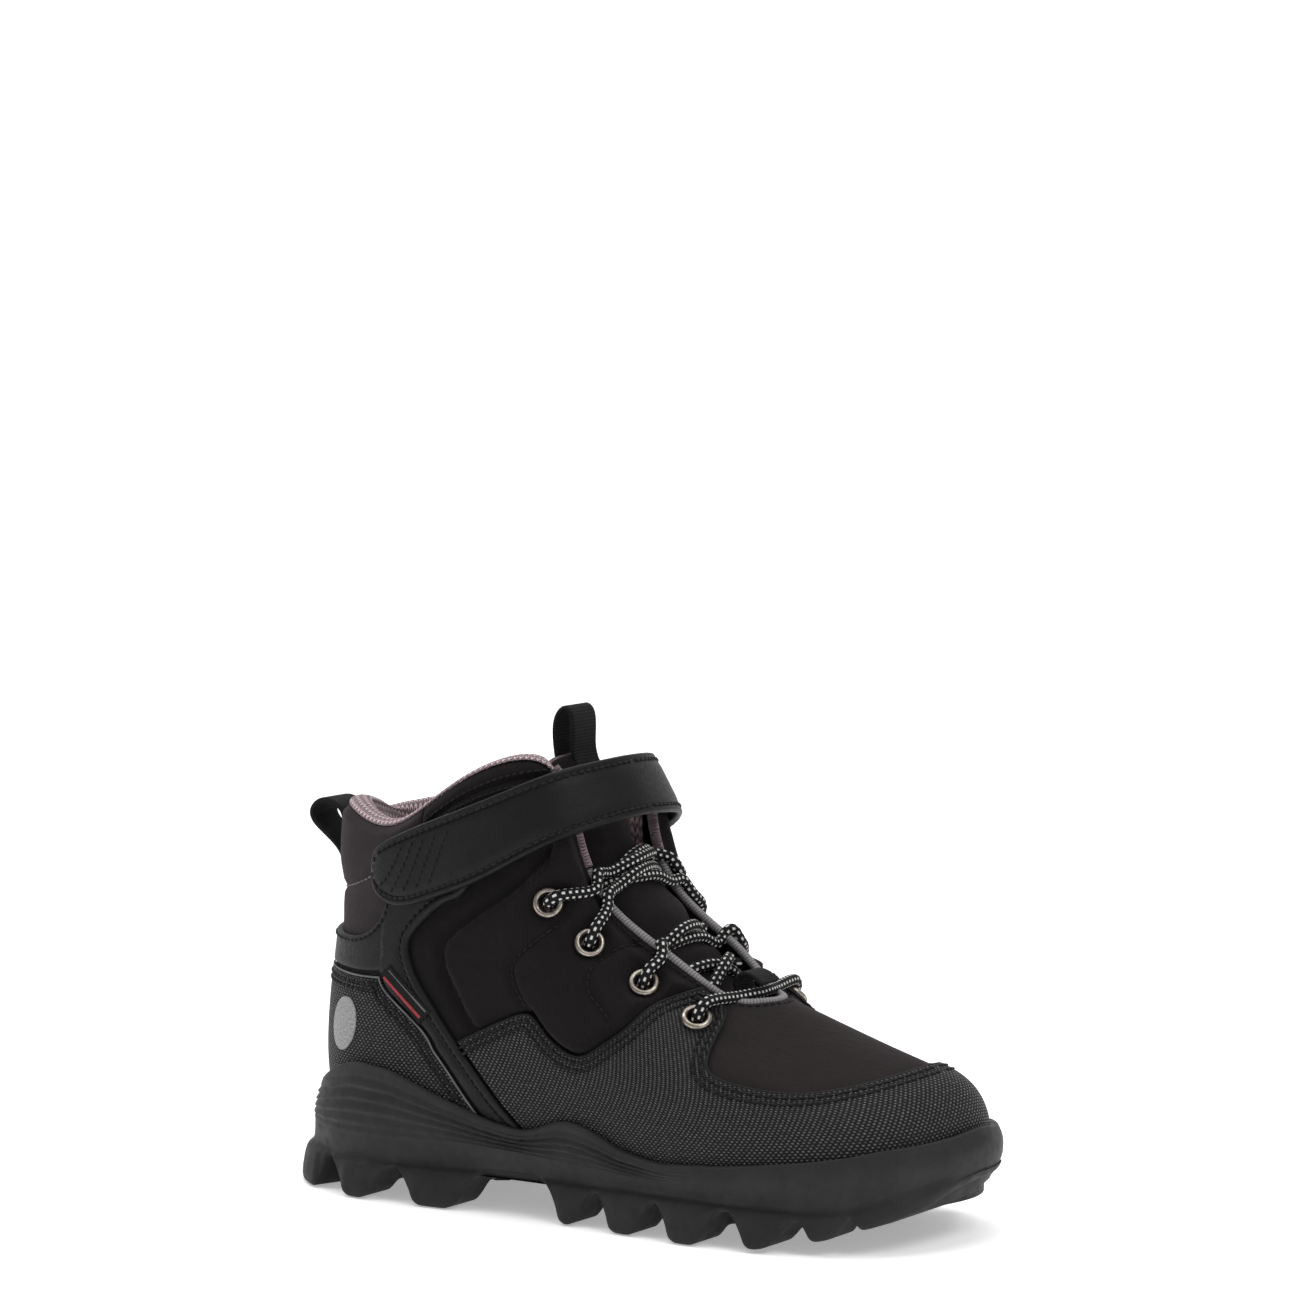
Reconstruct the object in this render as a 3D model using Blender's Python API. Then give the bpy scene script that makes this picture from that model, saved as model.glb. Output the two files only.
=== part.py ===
"""Child's hiking boot, right foot: lugged sole, lasted upper, elastic lace and hook-and-loop strap.

Every figure below is in pattern millimetres: toe +X, heel -X, lateral side -Y, up +Z. world() grades
the pattern to the finished size and centres it on the ground. The upper's pieces are cut flat in the
(u, v) plane of the last and wrapped on it: u runs once round the foot (0 heel centre, 5 lateral
instep, 10 toe, 15 medial instep), v runs from the feather line (0) to the top line (6), and d is the
height above the last's outer face.
"""
from math import cos, pi, sin

import bmesh
import bpy
import numpy as np
from mathutils import Matrix, Vector

# ---------------------------------------------------------------- driving dimensions
GRADE = 1.07                 # finished millimetres per pattern millimetre
SHIFT = (3.75, 0.85)         # centres the sole and heel loop on the ground point
LEATHER = 1.6                # thickness of the base panels
OVERLAY = (0.35, 1.65)       # inner and outer face of the stitched overlays
BADGE = (2.0, 2.5)           # inner and outer face of labels on the overlays
LINING = (-4.2, -3.2)
STIFFENER = (-2.9, -1.95)
COLLAR_PAD = 4.5             # extra depth of the collar foam
EYELET_R = (2.45, 2.95, 4.05)    # hole, barrel, flange
LACE_R = 1.6
PIPING_R = 0.8
STRAP_T = 2.0
WEBBING_T = 1.3
WEBBING_W = 12.0
LUG_DEPTH = 7.5
LUG_BAND = 13.0              # how far the side lugs reach in from the edge
SOLE_TOP_INSET = 2.6
RIM_GAP = 2.1                # midsole rim's inner face above the last

# last: for each station round the foot, points from the feather line up to the top line
LAST = [
    [(-92, 0, 16), (-94.5, 0, 30), (-94.8, 0, 46), (-94, 0, 62), (-93.5, 0, 78), (-93.5, 0, 92), (-93, 0, 103.5)],
    [(-86, -17, 16), (-89, -18.6, 30), (-89.4, -18.4, 46), (-88.3, -17.2, 62), (-87, -16, 78), (-87, -15, 91),
     (-86, -14.5, 102)],
    [(-70, -26, 16), (-73, -30, 30), (-73, -29.5, 46), (-71, -28, 62), (-69, -26, 77), (-68, -24, 89),
     (-67, -22.5, 99)],
    [(-48, -28, 16), (-50, -32.5, 30), (-50, -32, 47), (-48, -31, 65), (-46, -29.5, 82), (-44, -28, 98),
     (-42, -27, 114)],
    [(-22, -28, 16), (-23, -32.5, 30), (-23, -33, 46), (-23, -32.5, 64), (-22, -31, 82), (-20, -28, 102),
     (-18, -25, 120)],
    [(6, -31, 16), (3, -35, 29), (-1, -35.5, 43), (-5, -34, 57), (-9, -30.5, 73), (-10, -25.5, 90),
     (-11, -19.5, 104)],
    [(32, -36, 16), (27, -38, 27), (20, -37, 38), (12, -34.5, 49), (5, -30, 62), (0, -24, 74), (-3, -18, 84)],
    [(56, -36.5, 16), (52, -38, 25), (45, -36.5, 35), (36, -33, 43.5), (27, -28, 52), (20, -22, 60.5),
     (16, -16.5, 70)],
    [(76, -29, 17), (76, -31, 25), (69.5, -29.5, 34), (59, -26, 41.5), (48, -20.5, 48), (39, -15.5, 54),
     (31, -12, 60)],
    [(88, -15, 18), (89, -15.5, 27), (84.5, -14.5, 36.5), (73.5, -12, 43), (60, -9.5, 49), (47, -7.5, 54.5),
     (38, -6, 58.5)],
    [(92.5, 5, 20), (94, 5, 29), (90, 4.5, 38.5), (79, 4, 44.5), (65, 3, 49), (51, 1, 54.5), (40, 0, 58.5)],
    [(88, 20, 18), (89.5, 20.5, 27), (85, 19, 36.5), (74, 15, 43), (60, 11.5, 49), (47, 8.5, 54.5),
     (38, 6.5, 58.5)],
    [(76, 32, 17), (76, 33.5, 25), (70, 31, 34), (59, 27, 41.5), (48, 22, 48), (39, 16.5, 54), (31, 12, 60)],
    [(56, 35, 16), (53, 37, 25), (46, 35.5, 35), (37, 32, 43.5), (27, 27.5, 52), (20, 22, 60.5), (16, 16.5, 70)],
    [(32, 30.5, 16), (27, 33.5, 27), (20, 33.5, 38), (12, 32, 49), (5, 28.5, 62), (0, 23.5, 74), (-3, 18, 84)],
    [(6, 25, 16), (3, 29, 29), (-1, 31, 43), (-5, 31, 57), (-9, 28.5, 73), (-10, 24.5, 90), (-11, 19.5, 104)],
    [(-22, 23.5, 16), (-23, 28, 30), (-23, 29.5, 46), (-23, 30, 63), (-22, 29, 80), (-20, 27, 98), (-18, 25, 114)],
    [(-48, 24.5, 16), (-50, 29, 30), (-50, 29.5, 47), (-48, 29, 65), (-46, 28, 82), (-44, 27, 97),
     (-43, 26.5, 111)],
    [(-70, 24, 16), (-73, 28, 30), (-73, 28, 46), (-71, 27, 62), (-69, 25.5, 78), (-68, 24, 90), (-67, 22.5, 100)],
    [(-86, 16, 16), (-89, 17.6, 30), (-89.4, 17.8, 46), (-88.3, 17.2, 62), (-87, 16, 78), (-87, 15, 91),
     (-86, 14.5, 102)],
]
# sole outline at the same stations
OUTLINE = [(-106, 0), (-97.5, -21), (-76, -33), (-51, -34.5), (-23, -34.3), (5, -37), (32, -41), (56, -40.8),
           (78, -33.5), (93.5, -17.5), (99.5, 5), (93.5, 23.5), (78, 35.5), (56, 39.3), (32, 36.5), (5, 31),
           (-23, 29), (-51, 30), (-76, 31), (-97.5, 19.5)]
# profiles along X
TOE_SPRING = [(-106, 2.0), (-98, 0), (50, 0), (57, 0.8), (66, 2.2), (75, 4.2), (87, 8), (94, 11), (99.5, 16)]
RUBBER_INNER = [(-106, 10), (80, 10), (87, 12.3), (94, 15), (99.5, 18)]
RUBBER_OUTER = [(-106, 11.5), (70, 11.5), (78, 12.3), (85, 14), (90, 16), (95, 18), (99.5, 19)]
FEATHER = [(-106, 16), (60, 16), (76, 17), (88, 18.3), (92.5, 20)]
LUGS = [(-80, -66), (-56, -38), (-8.5, 1), (8.5, 21.5), (28.5, 42), (51.3, 62.5), (69, 78)]
# height of the midsole rim on the last, as (u, v), the same on both sides
RIM = [(0, 1.12), (0.5, 0.92), (0.9, 0.86), (1.4, 1.1), (1.8, 1.32), (2.1, 1.42), (2.6, 1.35), (2.9, 1.2),
       (3.4, 0.9), (3.8, 0.65), (4.1, 0.55), (4.3, 0.62), (4.65, 0.87), (4.85, 0.9), (5.15, 0.75), (5.4, 0.5),
       (5.9, 0.37), (6.7, 0.58), (7.2, 0.75), (7.75, 0.9), (8.45, 1.03), (9.5, 0.95), (10, 1.0)]
EYELETS = [(4.65, 4.35), (5.75, 4.6), (6.65, 4.85), (7.25, 4.5)]

# ---------------------------------------------------------------- the last as a surface
LAST = np.array(LAST, float)
OUTLINE = np.array(OUTLINE, float)
STATIONS = len(LAST)


def closed_bend(points):
    """Second derivatives of the smooth closed curve through the points."""
    n = len(points)
    m = 4 * np.eye(n) + np.roll(np.eye(n), 1, 0) + np.roll(np.eye(n), -1, 0)
    rhs = 6 * (np.roll(points, -1, 0) - 2 * points + np.roll(points, 1, 0))
    return np.linalg.solve(m, rhs.reshape(n, -1)).reshape(points.shape)


def open_bend(points):
    """Second derivatives of the smooth open curve through the points."""
    n = len(points)
    m = np.eye(n)
    rhs = np.zeros_like(points)
    for i in range(1, n - 1):
        m[i, i - 1:i + 2] = (1, 4, 1)
        rhs[i] = 6 * (points[i + 1] - 2 * points[i] + points[i - 1])
    return np.linalg.solve(m, rhs.reshape(n, -1)).reshape(points.shape)


def cubic(points, bend, i, j, t):
    s = 1 - t
    return s * points[i] + t * points[j] + ((s ** 3 - s) * bend[i] + (t ** 3 - t) * bend[j]) / 6


LAST_BEND = closed_bend(LAST)
OUTLINE_BEND = closed_bend(OUTLINE)


def smooth_last(u, v):
    u = u % STATIONS
    i = int(u) % STATIONS
    column = cubic(LAST, LAST_BEND, i, (i + 1) % STATIONS, u - int(u))
    k = min(int(v), 5)
    return cubic(column, open_bend(column), k, k + 1, v - k)


def smooth_normal(u, v, h=0.02):
    along = smooth_last(u + h, v) - smooth_last(u - h, v)
    up = smooth_last(u, min(v + h, 6)) - smooth_last(u, max(v - h, 0))
    n = np.cross(along, up)
    return n / np.linalg.norm(n)


def outline_at(u):
    u = u % STATIONS
    i = int(u) % STATIONS
    return cubic(OUTLINE, OUTLINE_BEND, i, (i + 1) % STATIONS, u - int(u))


def open_curve(points, n):
    """n points evenly along the smooth open curve through the given points."""
    points = np.array(points, float)
    bend = open_bend(points)
    out = []
    for t in np.linspace(0, len(points) - 1, n):
        k = min(int(t), len(points) - 2)
        out.append(cubic(points, bend, k, k + 1, t - k))
    return np.array(out)


# the wrapping grid: closer columns round the heel and toe
U_LINES = ([i * 0.25 for i in range(0, 10)] + [2.5 + i * 0.5 for i in range(0, 11)]
           + [8 + i * 0.25 for i in range(0, 16)] + [12 + i * 0.5 for i in range(0, 11)]
           + [17.5 + i * 0.25 for i in range(0, 10)])
COLUMNS = len(U_LINES)
GRID = np.array([[smooth_last(u, v) for v in range(7)] for u in U_LINES])
GRID_N = np.array([[smooth_normal(u, v) for v in range(7)] for u in U_LINES])
PAD = np.zeros((COLUMNS, 7))
for c, line in enumerate(U_LINES):
    reach = min(line, STATIONS - line)
    if reach < 4.3:
        PAD[c, 4:7] = (0.3 * COLLAR_PAD, COLLAR_PAD, 0.45 * COLLAR_PAD)


def to_index(u):
    """Column number, with fraction, of station u."""
    turn = np.floor(u / STATIONS)
    lines = U_LINES + [STATIONS]
    return turn * COLUMNS + float(np.interp(u - turn * STATIONS, lines, range(COLUMNS + 1)))


def wrap(c, v, d, pad=0.0):
    """Point at column c, row v, height d on the faceted last; pad adds that share of the foam's depth."""
    i = int(np.floor(c + 1e-9))
    a = c - i
    k = int(min(np.floor(v + 1e-9), 5))
    b = v - k

    def corner(p, q):
        p = p % COLUMNS
        return GRID[p, q] + (d + pad * PAD[p, q]) * GRID_N[p, q]

    if a + b <= 1:
        return (1 - a - b) * corner(i, k) + a * corner(i + 1, k) + b * corner(i, k + 1)
    return (a + b - 1) * corner(i + 1, k + 1) + (1 - b) * corner(i + 1, k) + (1 - a) * corner(i, k + 1)


def on_last(u, v, d=0.0):
    return wrap(to_index(u), v, d)


def world(p):
    return Vector(((p[0] + SHIFT[0]), (p[1] + SHIFT[1]), p[2])) * (GRADE * 0.001)


def along_x(table, x):
    return float(np.interp(x, [t[0] for t in table], [t[1] for t in table]))


# ---------------------------------------------------------------- scene, materials, mesh helpers
for old in list(bpy.data.objects):
    bpy.data.objects.remove(old, do_unlink=True)
BOOT = bpy.data.collections.new("hiking_boot")
TOOLS = bpy.data.collections.new("cutters")
bpy.context.scene.collection.children.link(BOOT)
bpy.context.scene.collection.children.link(TOOLS)

COLOURS = {
    "nubuck": ((0.030, 0.026, 0.026), 0.92, 0.0),
    "smooth_leather": ((0.022, 0.022, 0.023), 0.55, 0.0),
    "coated_mesh": ((0.045, 0.045, 0.047), 0.6, 0.0),
    "rubber": ((0.024, 0.024, 0.025), 0.75, 0.0),
    "midsole_foam": ((0.026, 0.026, 0.027), 0.7, 0.0),
    "mauve_knit": ((0.26, 0.20, 0.21), 0.95, 0.0),
    "foam": ((0.55, 0.52, 0.47), 0.95, 0.0),
    "fibreboard": ((0.40, 0.32, 0.22), 0.9, 0.0),
    "stiffener": ((0.50, 0.48, 0.44), 0.8, 0.0),
    "webbing": ((0.018, 0.018, 0.019), 0.85, 0.0),
    "grey_piping": ((0.20, 0.19, 0.19), 0.6, 0.0),
    "lace_cord": ((0.020, 0.020, 0.022), 0.8, 0.0),
    "antique_nickel": ((0.42, 0.39, 0.35), 0.35, 1.0),
    "spring_steel": ((0.50, 0.50, 0.52), 0.4, 1.0),
    "hook_tape": ((0.02, 0.02, 0.02), 0.9, 0.0),
    "reflective_print": ((0.45, 0.45, 0.46), 0.5, 0.0),
}
MATERIALS = {}
for slot, (colour, roughness, metallic) in COLOURS.items():
    mat = bpy.data.materials.new(slot)
    mat.use_nodes = True
    shader = mat.node_tree.nodes["Principled BSDF"]
    shader.inputs["Base Color"].default_value = (*colour, 1)
    shader.inputs["Roughness"].default_value = roughness
    shader.inputs["Metallic"].default_value = metallic
    MATERIALS[slot] = mat


def add(name, data, slot, smooth=False):
    obj = bpy.data.objects.new(name, data)
    BOOT.objects.link(obj)
    data.materials.append(MATERIALS[slot])
    if smooth and data.polygons:
        data.polygons.foreach_set("use_smooth", [True] * len(data.polygons))
    return obj


def mesh_from(name, bm, slot, smooth=False):
    bmesh.ops.recalc_face_normals(bm, faces=bm.faces)
    if bm.calc_volume(signed=True) < 0:
        bmesh.ops.reverse_faces(bm, faces=bm.faces)
    data = bpy.data.meshes.new(name)
    bm.to_mesh(data)
    bm.free()
    return add(name, data, slot, smooth)


def closed_rings(name, rings, slot, smooth=False):
    """Solid through rings of equal length whose first and last ring each close onto the spine."""
    bm = bmesh.new()
    rows = [[bm.verts.new(world(p)) for p in ring] for ring in rings]
    n = len(rows[0])
    for low, high in zip(rows, rows[1:]):
        for i in range(n):
            j = (i + 1) % n
            bm.faces.new((low[i], low[j], high[j], high[i]))
    bmesh.ops.remove_doubles(bm, verts=bm.verts, dist=2e-6)
    bmesh.ops.dissolve_degenerate(bm, edges=bm.edges, dist=2e-6)
    bmesh.ops.triangulate(bm, faces=bm.faces)
    return mesh_from(name, bm, slot, smooth)


def panel(name, outline, d, slot, pad=(0.0, 0.0)):
    """Piece cut flat to the (u, v) outline, d[0] to d[1] thick, wrapped on the last."""
    bm = bmesh.new()
    flat = [bm.verts.new((to_index(u), v, 0)) for u, v in outline]
    face = bm.faces.new(flat)
    lifted = bmesh.ops.extrude_face_region(bm, geom=[face])["geom"]
    bmesh.ops.translate(bm, vec=(0, 0, 1), verts=[g for g in lifted if isinstance(g, bmesh.types.BMVert)])
    lo = int(np.floor(min(p.co.x for p in bm.verts)))
    hi = int(np.ceil(max(p.co.x for p in bm.verts)))
    cuts = [((c, 0, 0), (1, 0, 0)) for c in range(lo, hi + 1)]
    cuts += [((0, r, 0), (0, 1, 0)) for r in range(0, 7)]
    cuts += [((s, 0, 0), (1, 1, 0)) for s in range(lo, hi + 7)]
    for co, no in cuts:
        geom = list(bm.verts) + list(bm.edges) + list(bm.faces)
        bmesh.ops.bisect_plane(bm, geom=geom, dist=1e-5, plane_co=co, plane_no=no)
    bmesh.ops.remove_doubles(bm, verts=bm.verts, dist=1e-4)
    bmesh.ops.triangulate(bm, faces=bm.faces)
    for vert in bm.verts:
        side = 1 if vert.co.z > 0.5 else 0
        point = wrap(vert.co.x, min(max(vert.co.y, 0), 6), d[side], pad[side])
        vert.co = world(point)
    return mesh_from(name, bm, slot)


def slab(name, front, back, thick, slot, rows=3):
    """Solid strip between two edge curves of equal length, thick millimetres, centred on them."""
    front = np.array(front, float)
    back = np.array(back, float)
    grid = np.array([front + (back - front) * t for t in np.linspace(0, 1, rows)])
    along = np.gradient(grid, axis=1)
    across = np.gradient(grid, axis=0)
    normal = np.cross(along, across)
    normal /= np.linalg.norm(normal, axis=2, keepdims=True)
    bm = bmesh.new()
    outer = [[bm.verts.new(world(p)) for p in row] for row in grid + normal * thick / 2]
    inner = [[bm.verts.new(world(p)) for p in row] for row in grid - normal * thick / 2]
    for r in range(rows - 1):
        for i in range(len(front) - 1):
            bm.faces.new((outer[r][i], outer[r][i + 1], outer[r + 1][i + 1], outer[r + 1][i]))
            bm.faces.new((inner[r][i], inner[r + 1][i], inner[r + 1][i + 1], inner[r][i + 1]))
    edge = [(0, i) for i in range(len(front))] + [(r, len(front) - 1) for r in range(1, rows)]
    edge += [(rows - 1, i) for i in range(len(front) - 2, -1, -1)] + [(r, 0) for r in range(rows - 2, 0, -1)]
    for (r, i), (s, j) in zip(edge, edge[1:] + edge[:1]):
        bm.faces.new((outer[r][i], outer[s][j], inner[s][j], inner[r][i]))
    bmesh.ops.triangulate(bm, faces=bm.faces)
    return mesh_from(name, bm, slot)


def tube(name, points, radius, slot, segments=2):
    """Round cord through the points, in pattern millimetres."""
    data = bpy.data.curves.new(name, "CURVE")
    data.dimensions = "3D"
    data.bevel_depth = radius * GRADE * 0.001
    data.bevel_resolution = segments
    data.use_fill_caps = True
    spline = data.splines.new("POLY")
    spline.points.add(len(points) - 1)
    for knot, p in zip(spline.points, points):
        knot.co = (*world(p), 1)
    return add_curve(name, data, slot)


def add_curve(name, data, slot):
    obj = bpy.data.objects.new(name, data)
    BOOT.objects.link(obj)
    data.materials.append(MATERIALS[slot])
    return obj


def webbing(name, path, width, slot, y=0.0):
    """Webbing of the given width along Y that follows a closed-up path in the XZ plane."""
    path = np.array(path, float)
    step = np.gradient(path, axis=0)
    normal = np.stack([-step[:, 1], step[:, 0]], 1)
    normal /= np.linalg.norm(normal, axis=1, keepdims=True)
    skins = [path + normal * WEBBING_T / 2, path - normal * WEBBING_T / 2]
    bm = bmesh.new()
    verts = [[[bm.verts.new(world((p[0], y + side * width / 2, p[1]))) for p in skin] for skin in skins]
             for side in (-1, 1)]
    n = len(path)
    for i in range(n - 1):
        bm.faces.new((verts[0][0][i], verts[0][0][i + 1], verts[1][0][i + 1], verts[1][0][i]))
        bm.faces.new((verts[0][1][i + 1], verts[0][1][i], verts[1][1][i], verts[1][1][i + 1]))
        for side in (0, 1):
            bm.faces.new((verts[side][0][i], verts[side][1][i], verts[side][1][i + 1], verts[side][0][i + 1]))
    for i in (0, n - 1):
        bm.faces.new((verts[0][0][i], verts[0][1][i], verts[1][1][i], verts[1][0][i]))
    bmesh.ops.triangulate(bm, faces=bm.faces)
    return mesh_from(name, bm, slot)


def round_cutter(name, spots, radius, length):
    """Round bars through the given (centre, axis) spots, used to punch the eyelet holes."""
    bm = bmesh.new()
    for centre, axis in spots:
        turn = Vector(axis).to_track_quat("Z", "Y").to_matrix().to_4x4()
        place = Matrix.Translation(world(centre)) @ turn
        bmesh.ops.create_cone(bm, cap_ends=True, segments=16, radius1=radius * GRADE * 0.001,
                              radius2=radius * GRADE * 0.001, depth=length * GRADE * 0.001, matrix=place)
    data = bpy.data.meshes.new(name)
    bm.to_mesh(data)
    bm.free()
    obj = bpy.data.objects.new(name, data)
    TOOLS.objects.link(obj)
    obj.hide_render = True
    obj.display_type = "WIRE"
    return obj


def cut(obj, cutter):
    mod = obj.modifiers.new("cut_" + cutter.name, "BOOLEAN")
    mod.operation = "DIFFERENCE"
    mod.solver = "EXACT"
    mod.object = cutter


# ---------------------------------------------------------------- sole
def spine_at(u):
    """Point on the sole's long middle line beside station u."""
    a = outline_at(u)
    b = outline_at(STATIONS - u)
    middle = (a + b) / 2
    x = min(max(middle[0], -82), 74)
    return np.array([x, middle[1] * 0.6])


def inset(u, amount):
    edge = outline_at(u)
    spine = spine_at(u)
    gap = spine - edge
    return edge + gap * min(amount / np.linalg.norm(gap), 1.0)


def both_sides(half):
    """Stations up the lateral side and back down the medial side."""
    return list(half) + [STATIONS - u for u in reversed(half) if 0 < u < STATIONS / 2]


dense = np.linspace(0.6, 9.4, 400)
dense_x = [outline_at(u)[0] for u in dense]
lug_lines = []
for start, end in LUGS:
    slope = 2.2 if start < 60 else 1.2
    lug_lines += [(start - slope, 0), (start + slope, 1), (end - slope, 1), (end + slope, 0)]
lug_table = [(-106, 1), (-90, 1), (-86.5, 0)] + lug_lines + [(81, 1), (99.5, 1)]
half = [0, 0.3, 0.6, 0.85, 1.1] + [float(np.interp(x, dense_x, dense)) for x, _ in lug_table[1:-1]]
half += [8.35, 8.6, 8.8, 9.0, 9.2, 9.4, 9.6, 9.8, 10]
sole_u = both_sides(sorted(half))


def sole_ring(amount, height):
    ring = []
    for u in sole_u:
        x, y = inset(u, amount)
        ring.append((x, y, height(x, outline_at(u)[0])))
    return ring


def lug_height(x):
    depth = LUG_DEPTH if x < 60 else 5.0
    return depth * (1 - along_x(lug_table, x))


outsole_rings = [
    [(*spine_at(u), along_x(TOE_SPRING, spine_at(u)[0]) + 3.5) for u in sole_u],
    sole_ring(LUG_BAND + 3, lambda x, edge: along_x(TOE_SPRING, x) + 3.5),
    sole_ring(LUG_BAND, lambda x, edge: along_x(TOE_SPRING, x) + min(lug_height(edge), 6.0)),
    sole_ring(1.2, lambda x, edge: along_x(TOE_SPRING, x) + lug_height(edge)),
    sole_ring(0.0, lambda x, edge: along_x(TOE_SPRING, edge) + lug_height(edge) + 1.2),
    sole_ring(0.8, lambda x, edge: max(along_x(TOE_SPRING, edge) + 2.5, along_x(RUBBER_OUTER, edge) - 2.0)),
    sole_ring(SOLE_TOP_INSET, lambda x, edge: along_x(RUBBER_OUTER, edge)),
    sole_ring(SOLE_TOP_INSET + 1.5, lambda x, edge: along_x(RUBBER_OUTER, edge)),
    sole_ring(SOLE_TOP_INSET + 1.9, lambda x, edge: along_x(RUBBER_INNER, x)),
    [(*spine_at(u), along_x(RUBBER_INNER, spine_at(u)[0])) for u in sole_u],
]
outsole = closed_rings("outsole", outsole_rings, "rubber")

columns = list(range(COLUMNS))


def rim_v(u):
    return along_x(RIM, min(u, STATIONS - u))


def last_spine(u, rise):
    """Point on the upper's long middle line, rise above the feather line's height there."""
    middle = (smooth_last(u, 0) + smooth_last(STATIONS - u, 0)) / 2
    x = min(max(middle[0], -76), 70)
    return (x, middle[1] * 0.6, along_x(FEATHER, x) + rise)


def mid_ring(kind):
    ring = []
    for c in columns:
        u = U_LINES[c]
        edge_x = outline_at(u)[0]
        v = rim_v(u)
        floor_z = wrap(c, 0, 0)[2] - 0.4
        low = inset(u, SOLE_TOP_INSET)
        low = np.array([low[0], low[1], along_x(RUBBER_OUTER, edge_x) + 0.35])
        high = wrap(c, v, RIM_GAP + 1.7)
        if kind == "base_spine":
            x, y, _ = last_spine(u, 0)
            ring.append((x, y, along_x(RUBBER_INNER, x) + 0.35))
        elif kind == "base":
            x, y = inset(u, SOLE_TOP_INSET + 2.7)
            ring.append((x, y, along_x(RUBBER_INNER, x) + 0.35))
        elif kind == "base_step":
            x, y = inset(u, SOLE_TOP_INSET + 2.4)
            ring.append((x, y, low[2]))
        elif kind == "side_low":
            ring.append(tuple(low))
        elif kind == "side_mid":
            ring.append(tuple(low * 0.45 + high * 0.55 + smooth_normal(u, 0.5) * 1.0))
        elif kind == "rim_outer":
            ring.append(tuple(high))
        elif kind == "rim_inner":
            ring.append(tuple(wrap(c, v, RIM_GAP)))
        elif kind == "wall":
            ring.append(tuple(wrap(c, min(1.0, v * 0.9), RIM_GAP)))
        elif kind == "wall_foot":
            x, y, _ = wrap(c, 0, RIM_GAP)
            ring.append((x, y, floor_z))
        elif kind == "floor_spine":
            ring.append(last_spine(u, -0.4))
    return ring


mid_kinds = ["base_spine", "base", "base_step", "side_low", "side_mid", "rim_outer", "rim_inner", "wall",
             "wall_foot", "floor_spine"]
midsole = closed_rings("midsole", [mid_ring(k) for k in mid_kinds], "midsole_foam")

shank_bm = bmesh.new()
bmesh.ops.create_cube(shank_bm, size=1, matrix=Matrix.Translation(world((-28, 0, 14.95)))
                      @ Matrix.Diagonal((0.085, 0.014, 0.0011, 1)))
shank = mesh_from("shank", shank_bm, "spring_steel")
recess_bm = bmesh.new()
bmesh.ops.create_cube(recess_bm, size=1, matrix=Matrix.Translation(world((-28, 0, 15.6)))
                      @ Matrix.Diagonal((0.0856, 0.0146, 0.0032, 1)))
recess_data = bpy.data.meshes.new("shank_recess")
recess_bm.to_mesh(recess_data)
recess_bm.free()
recess = bpy.data.objects.new("shank_recess", recess_data)
TOOLS.objects.link(recess)
recess.hide_render = True
recess.display_type = "WIRE"
cut(midsole, recess)


def inner_plate(name, clearance, low, high, slot):
    """Flat piece that fills the boot's floor, from low to high above the feather line."""
    rings = []
    for dz, share in ((low, 0), (low, 1), (high, 1), (high, 0)):
        ring = []
        for c in columns:
            u = U_LINES[c]
            z = wrap(c, 0, 0)[2]
            if share:
                x, y, _ = wrap(c, 0.1, LINING[0] - clearance)
                ring.append((x, y, z + dz))
            else:
                ring.append(last_spine(u, dz))
        rings.append(ring)
    return closed_rings(name, rings, slot)


insole_board = inner_plate("insole_board", 0.6, 0.1, 1.7, "fibreboard")
footbed = inner_plate("footbed", 1.0, 2.1, 5.6, "mauve_knit")

# ---------------------------------------------------------------- upper
def arc(points, per=3):
    """Outline edge smoothed through its (u, v) points."""
    return [tuple(p) for p in open_curve(points, (len(points) - 1) * per + 1)]


def mirrored(points):
    return [(STATIONS - u, v) for u, v in points]


COUNTER_EDGE = [(2.27, 2.78), (2.45, 2.5), (2.95, 2.0), (3.12, 1.72), (3.3, 1.42), (3.58, 0.8), (3.8, 0.08)]
STAY_FRONT = [(3.5, 4.75), (3.3, 4.1), (3.1, 3.95), (2.9, 3.8), (2.7, 3.55), (2.63, 3.25), (2.8, 2.8), (3.05, 2.4),
              (3.4, 1.85), (3.7, 1.35), (4.05, 0.65), (4.3, 0.08)]
HEEL_U = [(2.15, 4.75), (2.18, 4.4), (2.14, 3.95), (2.0, 3.6), (1.75, 3.4), (1.4, 3.42), (0.7, 3.52)]
MUD_LATERAL = [(3.42, 1.88), (3.8, 2.2), (4.2, 2.48), (4.42, 2.5), (4.6, 2.32), (4.9, 2.16), (5.25, 2.25),
               (5.7, 2.75), (6.25, 3.45), (6.75, 4.4), (7.15, 5.15), (7.45, 5.62)]
MUD_FINGER = [(7.7, 5.5), (7.7, 5.1), (7.4, 4.1), (7.14, 3.3), (7.12, 2.85), (7.45, 2.66), (7.95, 2.6), (8.85, 2.68),
              (10, 2.72)]

base = (-LEATHER, 0.0)
vamp = panel("vamp", [(7.51, 0.06), (12.49, 0.06)] + arc([(12.49, 5.5), (12.3, 5.9)], 1)
             + [(11, 5.92), (10, 5.92), (9, 5.92), (7.7, 5.9), (7.51, 5.5)], base, "nubuck")
quarter_lateral = panel("quarter_lateral", [(2.51, 0.06), (7.49, 0.06), (7.49, 5.9), (2.51, 5.9)], base, "nubuck")
quarter_medial = panel("quarter_medial", mirrored([(2.51, 0.06), (7.49, 0.06), (7.49, 5.9), (2.51, 5.9)]), base,
                       "nubuck")
heel_panel = panel("heel_panel", [(-2.49, 0.06), (2.49, 0.06), (2.49, 5.9), (-2.49, 5.9)], base, "nubuck")

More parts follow.
